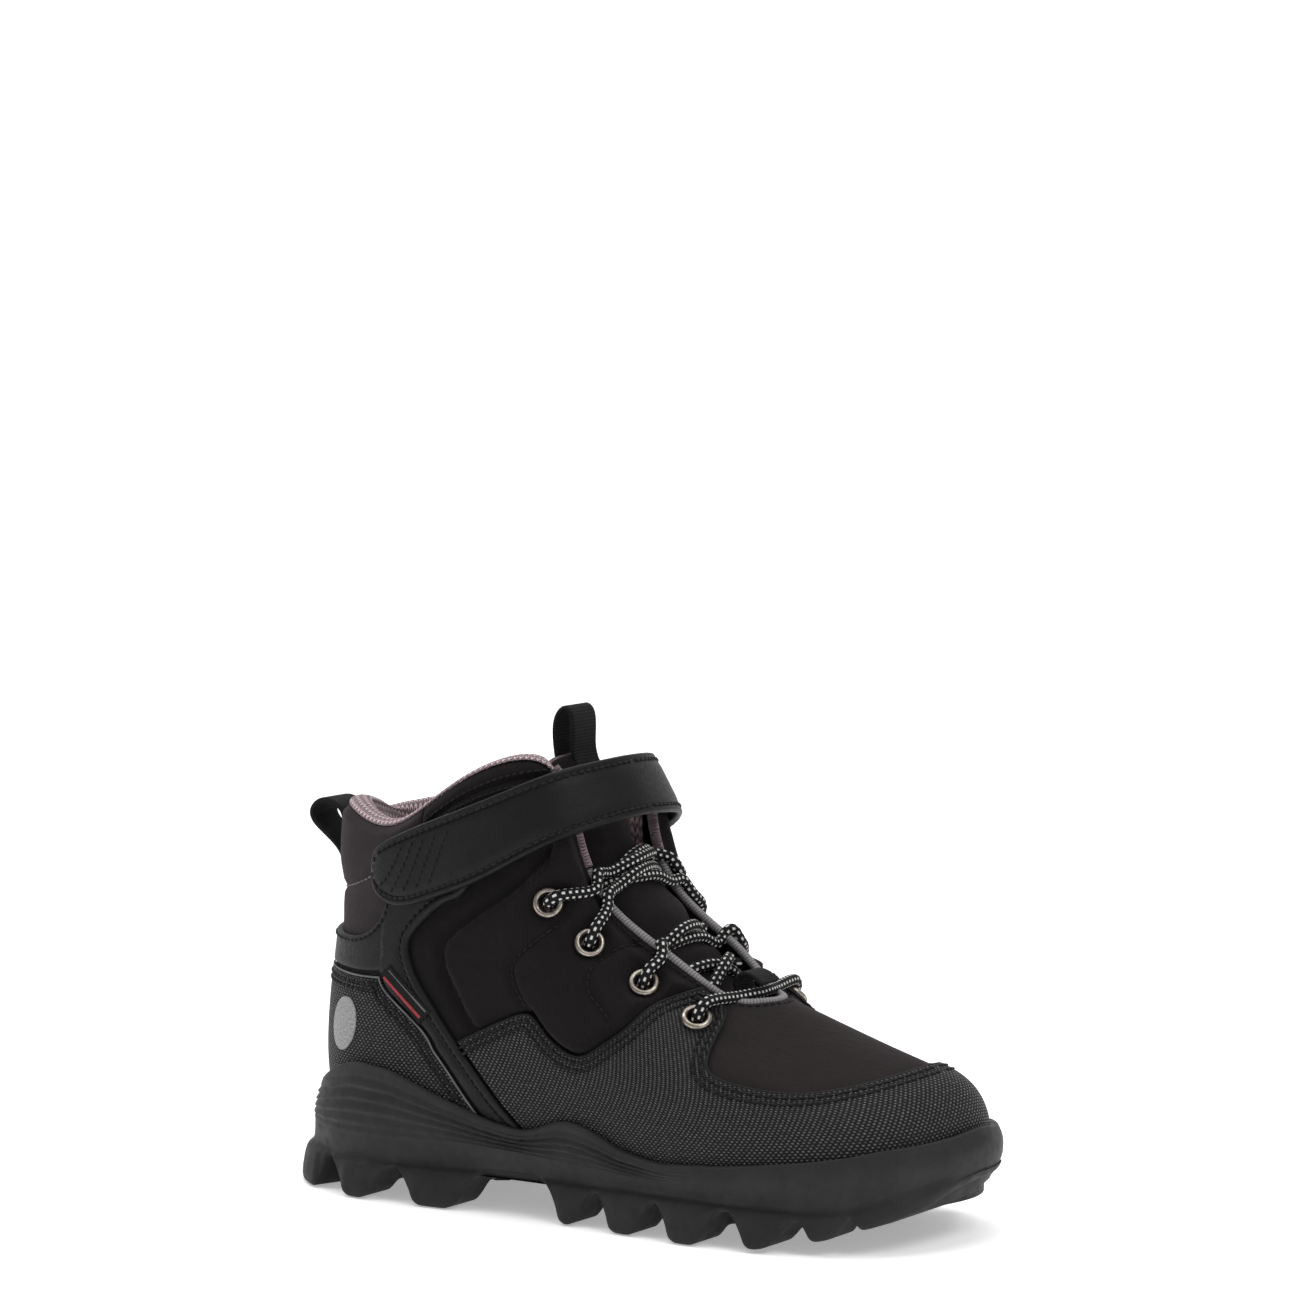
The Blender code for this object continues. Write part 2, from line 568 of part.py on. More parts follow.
counter_outline = ([(-p[0], p[1]) for p in reversed(arc(COUNTER_EDGE, 2))] + [(-1.6, 2.82), (0, 2.86), (1.6, 2.82)]
                   + arc(COUNTER_EDGE, 2))
heel_counter = panel("heel_counter", counter_outline, OVERLAY, "coated_mesh")
band_top = arc([(0.0, 3.55), (0.7, 3.52), (1.4, 3.42), (1.75, 3.4), (1.98, 3.55)], 2)
band_outline = ([(2.12, 3.55), (2.24, 2.9), (1.6, 2.94), (0, 2.98), (-1.6, 2.94), (-2.24, 2.9), (-2.12, 3.55)]
                + [(-p[0], p[1]) for p in reversed(band_top)][:-1] + band_top)
heel_band = panel("heel_band", band_outline, OVERLAY, "smooth_leather")
stay_back = arc([(2.16, 4.7), (2.2, 4.4), (2.17, 3.95), (2.15, 3.5)], 2) + [(2.27, 2.92)]
stay_back += [(p[0] + 0.05, p[1] + 0.03) for p in arc(COUNTER_EDGE, 2)][1:-1] + [(3.85, 0.08)]
stay_outline = stay_back + list(reversed(arc(STAY_FRONT, 2)))
stay_lateral = panel("stay_lateral", stay_outline, OVERLAY, "smooth_leather")
stay_medial = panel("stay_medial", mirrored(stay_outline), OVERLAY, "smooth_leather")
mud_edge = [(p[0] + 0.04, p[1]) for p in reversed(arc(STAY_FRONT[8:], 2))]
mud_top = arc(MUD_LATERAL, 2) + arc(MUD_FINGER, 2)
mud_half = mud_edge[:-1] + [(p[0] + 0.04, p[1]) for p in mud_top[:1]] + mud_top[1:]
mud_outline = mud_half + list(reversed(mirrored(mud_half[:-1])))
mudguard = panel("mudguard", mud_outline, OVERLAY, "coated_mesh")

lining_top = [(0.03, 5.8), (3.8, 5.8), (4.2, 5.2), (4.2, 3.8), (7.6, 3.6), (8.2, 5.1), (9.97, 5.1)]
lining_half = [(9.97, 0.06), (0.03, 0.06)] + lining_top
lining_lateral = panel("lining_lateral", lining_half, LINING, "mauve_knit", (-1.0, -1.0))
lining_medial = panel("lining_medial", mirrored(lining_half), LINING, "mauve_knit", (-1.0, -1.0))
collar_half = [(3.75, 4.15), (3.75, 5.7)]
collar_padding = panel("collar_padding", collar_half + [(-3.75, 5.7), (-3.75, 4.15)], (-2.75, -2.0), "foam",
                       (-1.0, 0.0))
toe_puff = panel("toe_puff", [(8.25, 0.1), (11.75, 0.1), (11.75, 2.5), (11, 3), (9, 3), (8.25, 2.5)], STIFFENER,
                 "stiffener")
heel_stiffener = panel("heel_stiffener", [(-2.9, 0.1), (2.9, 0.1), (2.7, 2), (2, 3.2), (0, 3.6), (-2, 3.2), (-2.7, 2)],
                       STIFFENER, "stiffener")

side_label = panel("side_label", [(2.3, 2.86), (2.42, 3.0), (3.08, 2.28), (2.95, 2.08)], BADGE, "webbing")
badge = []
for k in range(12):
    a = 2 * pi * k / 12
    badge.append((1.72 + 0.28 * cos(a), 2.0 + 0.45 * sin(a)))
heel_badge = panel("heel_badge", badge, BADGE, "reflective_print")


def edge_cord(name, start, end, radius, slot, n):
    """Cord that binds the upper's top line between two stations."""
    points = []
    for u in np.linspace(start, end, n):
        rise = smooth_last(u, 6) - smooth_last(u, 5.6)
        rise /= np.linalg.norm(rise)
        points.append(smooth_last(u, 6) + rise * (radius + 0.7) - smooth_normal(u, 6) * 0.6)
    return tube(name, points, radius, slot, 1)


throat_piping = edge_cord("throat_piping", 5.66, 14.34, PIPING_R, "grey_piping", 40)
front_binding_lateral = edge_cord("front_binding_lateral", 4.35, 5.56, PIPING_R, "mauve_knit", 9)
front_binding_medial = edge_cord("front_binding_medial", 14.44, 15.2, PIPING_R, "mauve_knit", 9)

# ---------------------------------------------------------------- eyelets
def eyelet_seat(u, v):
    return on_last(u, v), smooth_normal(u, v)


SEATS = [eyelet_seat(u, v) for u, v in EYELETS] + [eyelet_seat(STATIONS - u, v) for u, v in EYELETS]
LIFTS = [0.6, 0.6, 0.6, 2.2] * 2
for k, ((centre, axis), lift) in enumerate(zip(SEATS, LIFTS)):
    side = "lateral" if k < 4 else "medial"
    hole, barrel, flange = EYELET_R
    profile = [(hole, lift + 0.9), (hole, -2.0), (barrel, -2.0), (barrel, lift), (flange, lift),
               (flange, lift + 0.5), (flange - 0.7, lift + 1.0), (hole + 0.5, lift + 1.15)]
    place = Matrix.Translation(world(centre)) @ Vector(axis).to_track_quat("Z", "Y").to_matrix().to_4x4()
    bm = bmesh.new()
    segments = 12
    rows = []
    for s in range(segments):
        a = 2 * pi * s / segments
        rows.append([bm.verts.new(place @ (Vector((r * cos(a), r * sin(a), h)) * (GRADE * 0.001)))
                     for r, h in profile])
    for s in range(segments):
        this, following = rows[s], rows[(s + 1) % segments]
        for p in range(len(profile)):
            q = (p + 1) % len(profile)
            bm.faces.new((this[p], following[p], following[q], this[q]))
    mesh_from("eyelet_%s_%d" % (side, k % 4 + 1), bm, "antique_nickel", True)

punch_lateral = round_cutter("punch_lateral", SEATS[:4], EYELET_R[1] + 0.35, 8)
punch_medial = round_cutter("punch_medial", SEATS[4:], EYELET_R[1] + 0.35, 8)
punch_front = round_cutter("punch_front", [SEATS[3], SEATS[7]], EYELET_R[1] + 0.4, 8.4)
cut(quarter_lateral, punch_lateral)
cut(quarter_medial, punch_medial)
cut(mudguard, punch_front)

# ---------------------------------------------------------------- tongue
TONGUE_LINE = [(44, 50), (34, 55), (22, 62.5), (9, 73), (-2.6, 86), (-10.5, 102), (-19.5, 118.6)]
TONGUE_R = 18.0
TONGUE_HALF = 15.2
tongue_mid = open_curve(TONGUE_LINE, 13)
tongue_dir = np.gradient(tongue_mid, axis=0)
tongue_dir /= np.linalg.norm(tongue_dir, axis=1, keepdims=True)


def tongue_point(s, y, lift=0.0):
    """Point above the tongue's outer face, s from the throat (0) to the top (1)."""
    t = s * (len(tongue_mid) - 1)
    k = min(int(t), len(tongue_mid) - 2)
    mid = tongue_mid[k] + (tongue_mid[k + 1] - tongue_mid[k]) * (t - k)
    way = tongue_dir[k] + (tongue_dir[k + 1] - tongue_dir[k]) * (t - k)
    out = np.array([way[1], -way[0]])
    angle = y / TONGUE_R
    reach = (TONGUE_R + lift) * cos(angle) - TONGUE_R
    return np.array([mid[0] + out[0] * reach, (TONGUE_R + lift) * sin(angle), mid[1] + out[1] * reach])


bm = bmesh.new()
skins = []
for depth in (0.0, 1.0):
    skin = []
    for s in np.linspace(0, 1, 13):
        thick = (2.0 + 4.0 * min(1.0, s * 1.6)) * depth
        skin.append([bm.verts.new(world(tongue_point(s, y, -thick)))
                     for y in np.linspace(-TONGUE_HALF, TONGUE_HALF, 7)])
    skins.append(skin)
for skin in skins:
    for a, b in zip(skin, skin[1:]):
        for i in range(6):
            bm.faces.new((a[i], a[i + 1], b[i + 1], b[i]))
for a, b in zip(range(12), range(1, 13)):
    for i in (0, 6):
        bm.faces.new((skins[0][a][i], skins[0][b][i], skins[1][b][i], skins[1][a][i]))
for row in (0, 12):
    for i in range(6):
        bm.faces.new((skins[0][row][i], skins[0][row][i + 1], skins[1][row][i + 1], skins[1][row][i]))
bmesh.ops.triangulate(bm, faces=bm.faces)
tongue = mesh_from("tongue", bm, "nubuck")

keeper_path = open_curve([(36.4, 55.8), (33, 57.6), (30.3, 59.6), (28.9, 61.8), (29.8, 64.1), (32.4, 64.9),
                          (35.2, 63.8), (36.8, 62.6)], 15)
lace_keeper = webbing("lace_keeper", keeper_path, 9.0, "webbing")
tongue_loop_path = open_curve([(-25.6, 118.2), (-26.6, 124.5), (-25.8, 129.8), (-23.3, 132), (-20.9, 129.8),
                               (-20.4, 124.5), (-20.9, 120.4)], 15)
tongue_loop = webbing("tongue_loop", tongue_loop_path, WEBBING_W, "webbing")
heel_loop_path = open_curve([(-94.9, 84), (-96.3, 89), (-101, 93.4), (-105.2, 97), (-105.6, 100.3), (-102.5, 102.6),
                             (-98.4, 102), (-95.7, 99.8), (-94.8, 96.2)], 19)
heel_loop = webbing("heel_loop", heel_loop_path, WEBBING_W, "webbing")

# ---------------------------------------------------------------- elastic lace
# where a strand crosses the eyestay's edge, going out over it and coming back in under it
OVER_U = [5.75, 6.05, 6.9, 7.9]
UNDER_U = [5.85, 6.65, 7.3, 7.6]


def edge_point(k, u, d, v=6.0, beyond=0.0):
    """Point by the eyestay's edge on the side of eyelet k, beyond it by the given amount."""
    u = u if k < 4 else STATIONS - u
    rise = smooth_last(u, 6) - smooth_last(u, 5.6)
    rise /= np.linalg.norm(rise)
    return smooth_last(u, v) + smooth_normal(u, v) * d + rise * beyond


def seat_point(k, height, lean, towards):
    """Point on the axis of eyelet k, leaning by the given amount towards the crossing at station towards."""
    centre, axis = SEATS[k]
    way = edge_point(k, towards, 0) - centre
    way -= axis * way.dot(axis)
    return centre + axis * height + way / np.linalg.norm(way) * lean


def leave(k):
    """Up out of eyelet k and over the edge."""
    u = OVER_U[k % 4]
    top = LIFTS[k]
    return [seat_point(k, top - 0.6, 0.0, u), seat_point(k, top + 2.3, 0.1, u), seat_point(k, top + 3.9, 2.8, u),
            edge_point(k, u, 3.2, 5.75), edge_point(k, u, 2.9, 6.0, 3.0)]


def arrive(k):
    """In under the edge and up into eyelet k."""
    u = UNDER_U[k % 4]
    return [edge_point(k, u, -3.9, 6.0, 2.6), edge_point(k, u, -3.9, 5.5), seat_point(k, -4.0, 3.8, u),
            seat_point(k, -3.3, 0.6, u), seat_point(k, -1.0, 0.0, u)]


def cross(s, y, lift):
    return [tongue_point(s - 0.012, -y, 2.1), tongue_point(s, 0, lift), tongue_point(s + 0.012, y, 2.1),
            tongue_point(s + 0.02, y * 1.7, 2.2)]


BAR = (33.0, 61.3)
bar_lateral = [(BAR[0], 0, BAR[1]), (BAR[0], -6, BAR[1] + 0.2)]
bar_medial = [(BAR[0], 6, BAR[1] + 0.2)]
one = bar_lateral + list(reversed(leave(3)))
one += [seat_point(3, -1.4, 0.0, 7.6)] + list(reversed(arrive(3)))[1:]
one += cross(0.395, 6, 5.8) + arrive(6) + leave(6)
one += cross(0.505, -6, 2.1) + arrive(1) + leave(1)
one += cross(0.655, 6, 5.9) + arrive(4) + leave(4)
one += [tongue_point(0.79, 5, 2.6), tongue_point(0.80, -3, 2.2), tongue_point(0.80, -7, 2.1)]
two = [(BAR[0], 0, BAR[1])] + bar_medial + list(reversed(leave(7)))
two += [seat_point(7, -1.4, 0.0, 7.6)] + list(reversed(arrive(7)))[1:]
two += cross(0.395, -6, 2.1) + arrive(2) + leave(2)
two += cross(0.505, 6, 5.8) + arrive(5) + leave(5)
two += cross(0.655, -6, 2.1) + arrive(0) + leave(0)
two += [tongue_point(0.73, -5, 3.4), tongue_point(0.735, 2, 2.2), tongue_point(0.74, 8, 2.2)]


def tidy_path(points, n):
    """Even, rounded version of a waypoint path."""
    points = np.array(points, float)
    keep = [0]
    for i in range(1, len(points)):
        if np.linalg.norm(points[i] - points[keep[-1]]) > 0.3:
            keep.append(i)
    points = points[keep]
    length = np.concatenate([[0], np.cumsum(np.sqrt(np.linalg.norm(np.diff(points, axis=0), axis=1)))])
    out = []
    for t in np.linspace(0, length[-1], n):
        k = min(max(int(np.searchsorted(length, t) - 1), 0), len(points) - 2)
        p = [points[max(k - 1, 0)], points[k], points[k + 1], points[min(k + 2, len(points) - 1)]]
        knots = [length[max(k - 1, 0)], length[k], length[k + 1], length[min(k + 2, len(points) - 1)]]
        if k == 0:
            knots[0] = knots[1] - (knots[2] - knots[1])
            p[0] = 2 * p[1] - p[2]
        if k + 2 > len(points) - 1:
            knots[3] = knots[2] + (knots[2] - knots[1])
            p[3] = 2 * p[2] - p[1]
        q = [p[i] + (p[i + 1] - p[i]) * (t - knots[i]) / (knots[i + 1] - knots[i]) for i in range(3)]
        r = [q[i] + (q[i + 1] - q[i]) * (t - knots[i]) / (knots[i + 2] - knots[i]) for i in range(2)]
        out.append(r[0] + (r[1] - r[0]) * (t - knots[1]) / (knots[2] - knots[1]))
    return out


lace_path = list(reversed(tidy_path(one, 112))) + tidy_path(two, 112)[1:]
elastic_lace = tube("elastic_lace", lace_path, LACE_R, "lace_cord", 1)

# ---------------------------------------------------------------- ankle strap
STRAP_TOP = [(-69, -28.6, 91.5), (-66.5, -29.9, 94.6), (-62, -31.2, 97.2), (-56, -32.2, 99.8), (-50, -33.0, 102.2),
             (-42, -33.6, 105.2), (-34, -33.8, 108.3), (-25, -33.2, 112), (-17, -31, 115.6)]
STRAP_LOW = [(-69, -29.0, 86), (-66, -31.4, 82.6), (-61, -33.0, 80.2), (-54.5, -34.4, 80.2), (-47, -35.4, 82.4),
             (-39, -36.2, 85.2), (-31, -36.4, 88.4), (-22, -35.6, 93), (-13, -33, 98)]
FRONT_TOP = [(-16.5, -30.7, 115.8), (-11, -25.5, 118.2), (-7, -17.5, 119.6), (-5, -8, 120.3), (-5, 2, 120.2),
             (-7, 10.5, 119.4), (-11.5, 18.5, 117.4), (-17, 25, 114.4)]
FRONT_LOW = [(-12.5, -32.7, 98.3), (-6.5, -27.5, 101.3), (-1, -19, 103.8), (2.5, -9, 105.3), (3.2, 1, 105.2),
             (1.5, 11, 104.2), (-3, 20, 102), (-9, 27.4, 98.8)]
ANCHOR_TOP = [(-17.5, 25.5, 114.2), (-24, 28.4, 110.5), (-33, 29.8, 106.3), (-41, 30.2, 102.6)]
ANCHOR_LOW = [(-9.5, 27.9, 98.6), (-17, 30.6, 94.6), (-27, 31.7, 90.3), (-36, 32.2, 86.6)]
strap_tab = slab("strap_tab", open_curve(STRAP_TOP, 17), open_curve(STRAP_LOW, 17), STRAP_T, "smooth_leather")
strap_front = slab("strap_front", open_curve(FRONT_TOP, 15), open_curve(FRONT_LOW, 15), STRAP_T, "smooth_leather")
strap_anchor = slab("strap_anchor", open_curve(ANCHOR_TOP, 7), open_curve(ANCHOR_LOW, 7), STRAP_T, "smooth_leather")


def beside(points, shift):
    return [(p[0], p[1] + shift, p[2]) for p in points]


def between(a, b, t):
    return [tuple(np.array(p) * (1 - t) + np.array(q) * t) for p, q in zip(a, b)]


patch_top = between(STRAP_TOP, STRAP_LOW, 0.14)[1:6]
patch_low = between(STRAP_TOP, STRAP_LOW, 0.86)[1:6]
hook_patch = slab("hook_patch", open_curve(beside(patch_top, 1.75), 7), open_curve(beside(patch_low, 1.75), 7), 0.8,
                  "hook_tape")
loop_patch = panel("loop_patch", [(2.3, 4.3), (3.7, 4.3), (3.9, 5.3), (2.3, 5.3)], (1.95, 2.5), "hook_tape")
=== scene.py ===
"""Looks for a child's right hiking boot: lugged sole, lasted upper, elastic lace, hook-and-loop strap.

Every figure is in pattern millimetres: toe +X, heel -X, lateral side -Y, up +Z. world() grades them to
the finished size. The upper's pieces are cut flat in the (u, v) plane of the last and wrapped on it:
u runs once round the foot (0 heel centre, 5 lateral instep, 10 toe, 15 medial instep), v runs from the
feather line (0) to the top line (6), and heights are measured out from the last's face.
"""
from math import cos, pi, sin, sqrt

import bmesh
import bpy
import numpy as np
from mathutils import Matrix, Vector
from mathutils.geometry import delaunay_2d_cdt
from mathutils.kdtree import KDTree

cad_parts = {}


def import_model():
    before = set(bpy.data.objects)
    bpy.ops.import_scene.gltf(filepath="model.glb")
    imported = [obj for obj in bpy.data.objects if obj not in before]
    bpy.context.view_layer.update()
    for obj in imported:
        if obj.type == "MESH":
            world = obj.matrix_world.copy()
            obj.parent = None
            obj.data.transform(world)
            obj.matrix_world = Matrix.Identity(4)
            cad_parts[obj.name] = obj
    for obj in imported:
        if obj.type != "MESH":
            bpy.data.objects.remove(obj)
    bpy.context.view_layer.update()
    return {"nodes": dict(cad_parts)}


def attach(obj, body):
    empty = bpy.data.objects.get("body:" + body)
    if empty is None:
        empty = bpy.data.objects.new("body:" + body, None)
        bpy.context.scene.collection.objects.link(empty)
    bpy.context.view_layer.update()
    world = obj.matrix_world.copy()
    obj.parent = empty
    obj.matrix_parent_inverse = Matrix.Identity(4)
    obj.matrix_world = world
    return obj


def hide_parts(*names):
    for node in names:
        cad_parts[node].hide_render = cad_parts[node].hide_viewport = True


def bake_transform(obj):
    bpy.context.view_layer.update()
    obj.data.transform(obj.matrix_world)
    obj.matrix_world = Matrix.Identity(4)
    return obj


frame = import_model()

# ---------------------------------------------------------------- driving dimensions
GRADE = 1.07
MM = GRADE * 0.001
SHIFT = np.array([3.75, 0.85, 0.0])
LEATHER = 1.6
OVERLAY = (0.35, 1.65)
BADGE = (1.7, 2.1)
LINING = (-4.2, -3.2)
STIFFENER = (-2.9, -1.95)
EYELET_R = (2.4, 2.95, 4.1)
EYELET_CUT = 2.75
LACE_R = 1.6
FLECK = 1.75
STRAP_T = 2.0
WEBBING_T = 1.3
RIM_GAP = 2.1
SOLE_TOP_INSET = 2.6
LUG_DEPTH = 7.5
LUG_BAND = 13.0
STATIONS = 20

LAST = np.array([
    [(-92, 0, 16), (-94.5, 0, 30), (-94.8, 0, 46), (-94, 0, 62), (-93.5, 0, 78), (-93.5, 0, 92),
     (-93, 0, 102.4)],
    [(-86, -17, 16), (-89, -18.6, 30), (-89.4, -18.4, 46), (-88.3, -17.2, 62), (-87, -16, 78),
     (-87, -15, 91.5), (-86, -14.5, 103)],
    [(-70, -26, 16), (-73, -30, 30), (-73, -29.5, 46), (-71, -28, 62), (-69, -26, 77), (-68, -24, 89.5),
     (-67, -22.5, 100.2)],
    [(-48, -28, 16), (-50, -32.5, 30), (-50, -32, 47), (-48, -31, 65), (-46, -29.5, 82), (-44, -28, 98),
     (-42, -27, 114)],
    [(-22, -28, 16), (-23, -32.5, 30), (-23, -33, 46), (-23, -32.5, 64), (-22, -31, 82), (-20, -28, 102),
     (-18, -25, 120)],
    [(6, -31, 16), (3, -35, 29), (-1, -35.5, 43), (-5, -34, 57), (-9, -30.5, 73), (-10, -25.5, 90),
     (-11, -19.5, 104)],
    [(32, -36, 16), (27, -38, 27), (20, -37, 38), (12, -34.5, 49), (5, -30, 62), (0, -24, 74), (-3, -18, 84)],
    [(56, -36.5, 16), (52, -38, 25), (45, -36.5, 35), (36, -33, 43.5), (27, -28, 52), (20, -22, 60.5),
     (16, -16.5, 70)],
    [(76, -29, 17), (76, -31, 25), (69.5, -29.5, 34), (59, -26, 41.5), (48, -20.5, 48), (39, -15.5, 54),
     (31, -12, 60)],
    [(88, -15, 18), (89, -15.5, 27), (84.5, -14.5, 36.5), (73.5, -12, 43), (60, -9.5, 49), (47, -7.5, 54.5),
     (38, -6, 58.5)],
    [(92.5, 5, 20), (94, 5, 29), (90, 4.5, 38.5), (79, 4, 44.5), (65, 3, 49), (51, 1, 54.5), (40, 0, 58.5)],
    [(88, 20, 18), (89.5, 20.5, 27), (85, 19, 36.5), (74, 15, 43), (60, 11.5, 49), (47, 8.5, 54.5),
     (38, 6.5, 58.5)],
    [(76, 32, 17), (76, 33.5, 25), (70, 31, 34), (59, 27, 41.5), (48, 22, 48), (39, 16.5, 54), (31, 12, 60)],
    [(56, 35, 16), (53, 37, 25), (46, 35.5, 35), (37, 32, 43.5), (27, 27.5, 52), (20, 22, 60.5),
     (16, 16.5, 70)],
    [(32, 30.5, 16), (27, 33.5, 27), (20, 33.5, 38), (12, 32, 49), (5, 28.5, 62), (0, 23.5, 74),
     (-3, 18, 84)],
    [(6, 25, 16), (3, 29, 29), (-1, 31, 43), (-5, 31, 57), (-9, 28.5, 73), (-10, 24.5, 90), (-11, 19.5, 104)],
    [(-22, 23.5, 16), (-23, 28, 30), (-23, 29.5, 46), (-23, 30, 63), (-22, 29, 80), (-20, 27, 98),
     (-18, 25, 114)],
    [(-48, 24.5, 16), (-50, 29, 30), (-50, 29.5, 47), (-48, 29, 65), (-46, 28, 82), (-44, 27, 97),
     (-43, 26.5, 111)],
    [(-70, 24, 16), (-73, 28, 30), (-73, 28, 46), (-71, 27, 62), (-69, 25.5, 78), (-68, 24, 90),
     (-67, 22.5, 102.3)],
    [(-86, 16, 16), (-89, 17.6, 30), (-89.4, 17.8, 46), (-88.3, 17.2, 62), (-87, 16, 78), (-87, 15, 90),
     (-86, 14.5, 99.4)],
], float)
OUTLINE = np.array([
    (-106, 0), (-97.5, -21), (-76, -33), (-51, -34.5), (-23, -34.3), (5, -37), (32, -41), (56, -40.8),
    (78, -33.5), (93.5, -17.5), (99.5, 5), (93.5, 23.5), (78, 35.5), (56, 39.3), (32, 36.5), (5, 31),
    (-23, 29), (-51, 30), (-76, 31), (-97.5, 19.5)], float)
TOE_SPRING = [(-106, 2.0), (-98, 0), (50, 0), (57, 0.8), (66, 2.2), (75, 4.2), (87, 8), (94, 11), (99.5, 16)]
RUBBER_INNER = [(-106, 10), (80, 10), (87, 12.3), (94, 15), (99.5, 18)]
RUBBER_OUTER = [(-106, 11.5), (70, 11.5), (78, 12.3), (85, 14), (90, 16), (95, 18), (99.5, 19)]
FEATHER = [(-106, 16), (60, 16), (76, 17), (88, 18.3), (92.5, 20)]
LUGS = [(-80, -66), (-56, -38), (-8.5, 1), (8.5, 21.5), (28.5, 42), (51.3, 62.5), (69, 78)]
RIM = [(0, 1.12), (0.5, 0.92), (0.9, 0.86), (1.4, 1.1), (1.8, 1.32), (2.1, 1.42), (2.6, 1.35), (2.9, 1.2),
       (3.4, 0.9), (3.8, 0.65), (4.1, 0.55), (4.3, 0.62), (4.65, 0.87), (4.85, 0.9), (5.15, 0.75), (5.4, 0.5),
       (5.9, 0.37), (6.7, 0.58), (7.2, 0.75), (7.75, 0.9), (8.45, 1.03), (9.5, 0.95), (10, 1.0)]
EYELETS = [(4.65, 4.35), (5.75, 4.6), (6.65, 4.85), (7.25, 4.5)]

# ---------------------------------------------------------------- camera
AZIMUTH, ELEVATION = 0.5585, 0.15
BACK = np.array([sin(AZIMUTH) * cos(ELEVATION), -cos(AZIMUTH) * cos(ELEVATION), sin(ELEVATION)])
UP = np.array([-sin(ELEVATION) * sin(AZIMUTH), sin(ELEVATION) * cos(AZIMUTH), cos(ELEVATION)])
TARGET = (np.array([0.0, 0.0, 60.0]) + SHIFT) * MM
eye = TARGET + 1400 * MM * BACK
camera = bpy.data.objects.new("camera", bpy.data.cameras.new("camera"))
bpy.context.scene.collection.objects.link(camera)
camera.location = eye
camera.rotation_mode = "QUATERNION"
camera.rotation_quaternion = Vector(TARGET + 88 * MM * UP - eye).to_track_quat("-Z", "Y")
camera.data.sensor_width = 36
camera.data.lens = 145.8
camera.data.clip_start = 0.05
camera.data.clip_end = 60
bpy.context.scene.camera = camera


# ---------------------------------------------------------------- the last as a smooth surface
def smooth(x):
    x = np.clip(x, 0, 1)
    return x * x * (3 - 2 * x)


def dome(x):
    """Quarter circle, 0 at 0 and 1 from 1 up."""
    return np.sqrt(1 - (1 - np.clip(x, 0, 1)) ** 2)


def bell(n):
    """Weights of a smooth moving average."""
    weights = np.hanning(n)[1:-1]
    return weights / weights.sum()


def unit(vectors):
    return vectors / np.linalg.norm(vectors, axis=-1, keepdims=True)


def lengths(path):
    """Distance run along the path at each of its points."""
    return np.concatenate([[0], np.cumsum(np.linalg.norm(np.diff(path, axis=0), axis=1))])


def sample(at, run, values):
    """Rows of values at the given places along run."""
    return np.stack([np.interp(at, run, column) for column in values.T], -1)


def bent(a, b, p, q, bend_p, bend_q):
    """Smooth curve between knots p and q; a and b are the shares of each."""
    return a * p + b * q + ((a ** 3 - a) * bend_p + (b ** 3 - b) * bend_q) / 6


def closed_bend(points):
    n = len(points)
    m = 4 * np.eye(n) + np.roll(np.eye(n), 1, 0) + np.roll(np.eye(n), -1, 0)
    rhs = 6 * (np.roll(points, -1, 0) - 2 * points + np.roll(points, 1, 0))
    return np.linalg.solve(m, rhs.reshape(n, -1)).reshape(points.shape)


def open_bend_matrix(n):
    m = np.eye(n)
    r = np.zeros((n, n))
    for i in range(1, n - 1):
        m[i, i - 1:i + 2] = (1, 4, 1)
        r[i, i - 1:i + 2] = (6, -12, 6)
    return np.linalg.solve(m, r)


def open_curve(points, n):
    """n points evenly along the smooth open curve through the given points."""
    points = np.array(points, float)
    bend = open_bend_matrix(len(points)) @ points
    t = np.linspace(0, len(points) - 1, n)
    k = np.minimum(t.astype(int), len(points) - 2)
    b = (t - k)[:, None]
    return bent(1 - b, b, points[k], points[k + 1], bend[k], bend[k + 1])


LAST_BEND = closed_bend(LAST)
OUTLINE_BEND = closed_bend(OUTLINE)
ROW_BEND = open_bend_matrix(7)


def last_face(u, v):
    """Points on the last's face; v may run a little past its ends."""
    u, v = np.broadcast_arrays(np.asarray(u, float), np.asarray(v, float))
    shape = u.shape
    u = u.ravel() % STATIONS
    v = v.ravel()
    inside = np.clip(v, 0.0, 6.0)
    i = np.floor(u).astype(int) % STATIONS
    j = (i + 1) % STATIONS
    t = (u - np.floor(u))[:, None, None]
    column = bent(1 - t, t, LAST[i], LAST[j], LAST_BEND[i], LAST_BEND[j])
    bend = np.einsum("ab,nbc->nac", ROW_BEND, column)
    k = np.clip(np.floor(inside).astype(int), 0, 5)
    n = np.arange(len(u))
    b = (inside - k)[:, None]
    a = 1 - b
    p, q, fp, fq = column[n, k], column[n, k + 1], bend[n, k], bend[n, k + 1]
    point = bent(a, b, p, q, fp, fq)
    slope = q - p + (-(3 * a ** 2 - 1) * fp + (3 * b ** 2 - 1) * fq) / 6
    point += slope * (v - inside)[:, None]
    return point.reshape(shape + (3,))


def face_of(line):
    """Points on the last's face for rows of (u, v)."""
    return last_face(line[:, 0], line[:, 1])


def partials(u, v, h=0.01):
    """Directions of the last's face along u and v, and its outward normal."""
    v = np.clip(v, 0.02, 5.98)
    du = (last_face(u + h, v) - last_face(u - h, v)) / (2 * h)
    dv = (last_face(u, v + h) - last_face(u, v - h)) / (2 * h)
    n = np.cross(du, dv)
    return du, dv, unit(n)


def on_last(u, v, d=0.0):
    u, v, d = np.broadcast_arrays(np.asarray(u, float), np.asarray(v, float), np.asarray(d, float))
    return last_face(u, v) + partials(u, v)[2] * d[..., None]


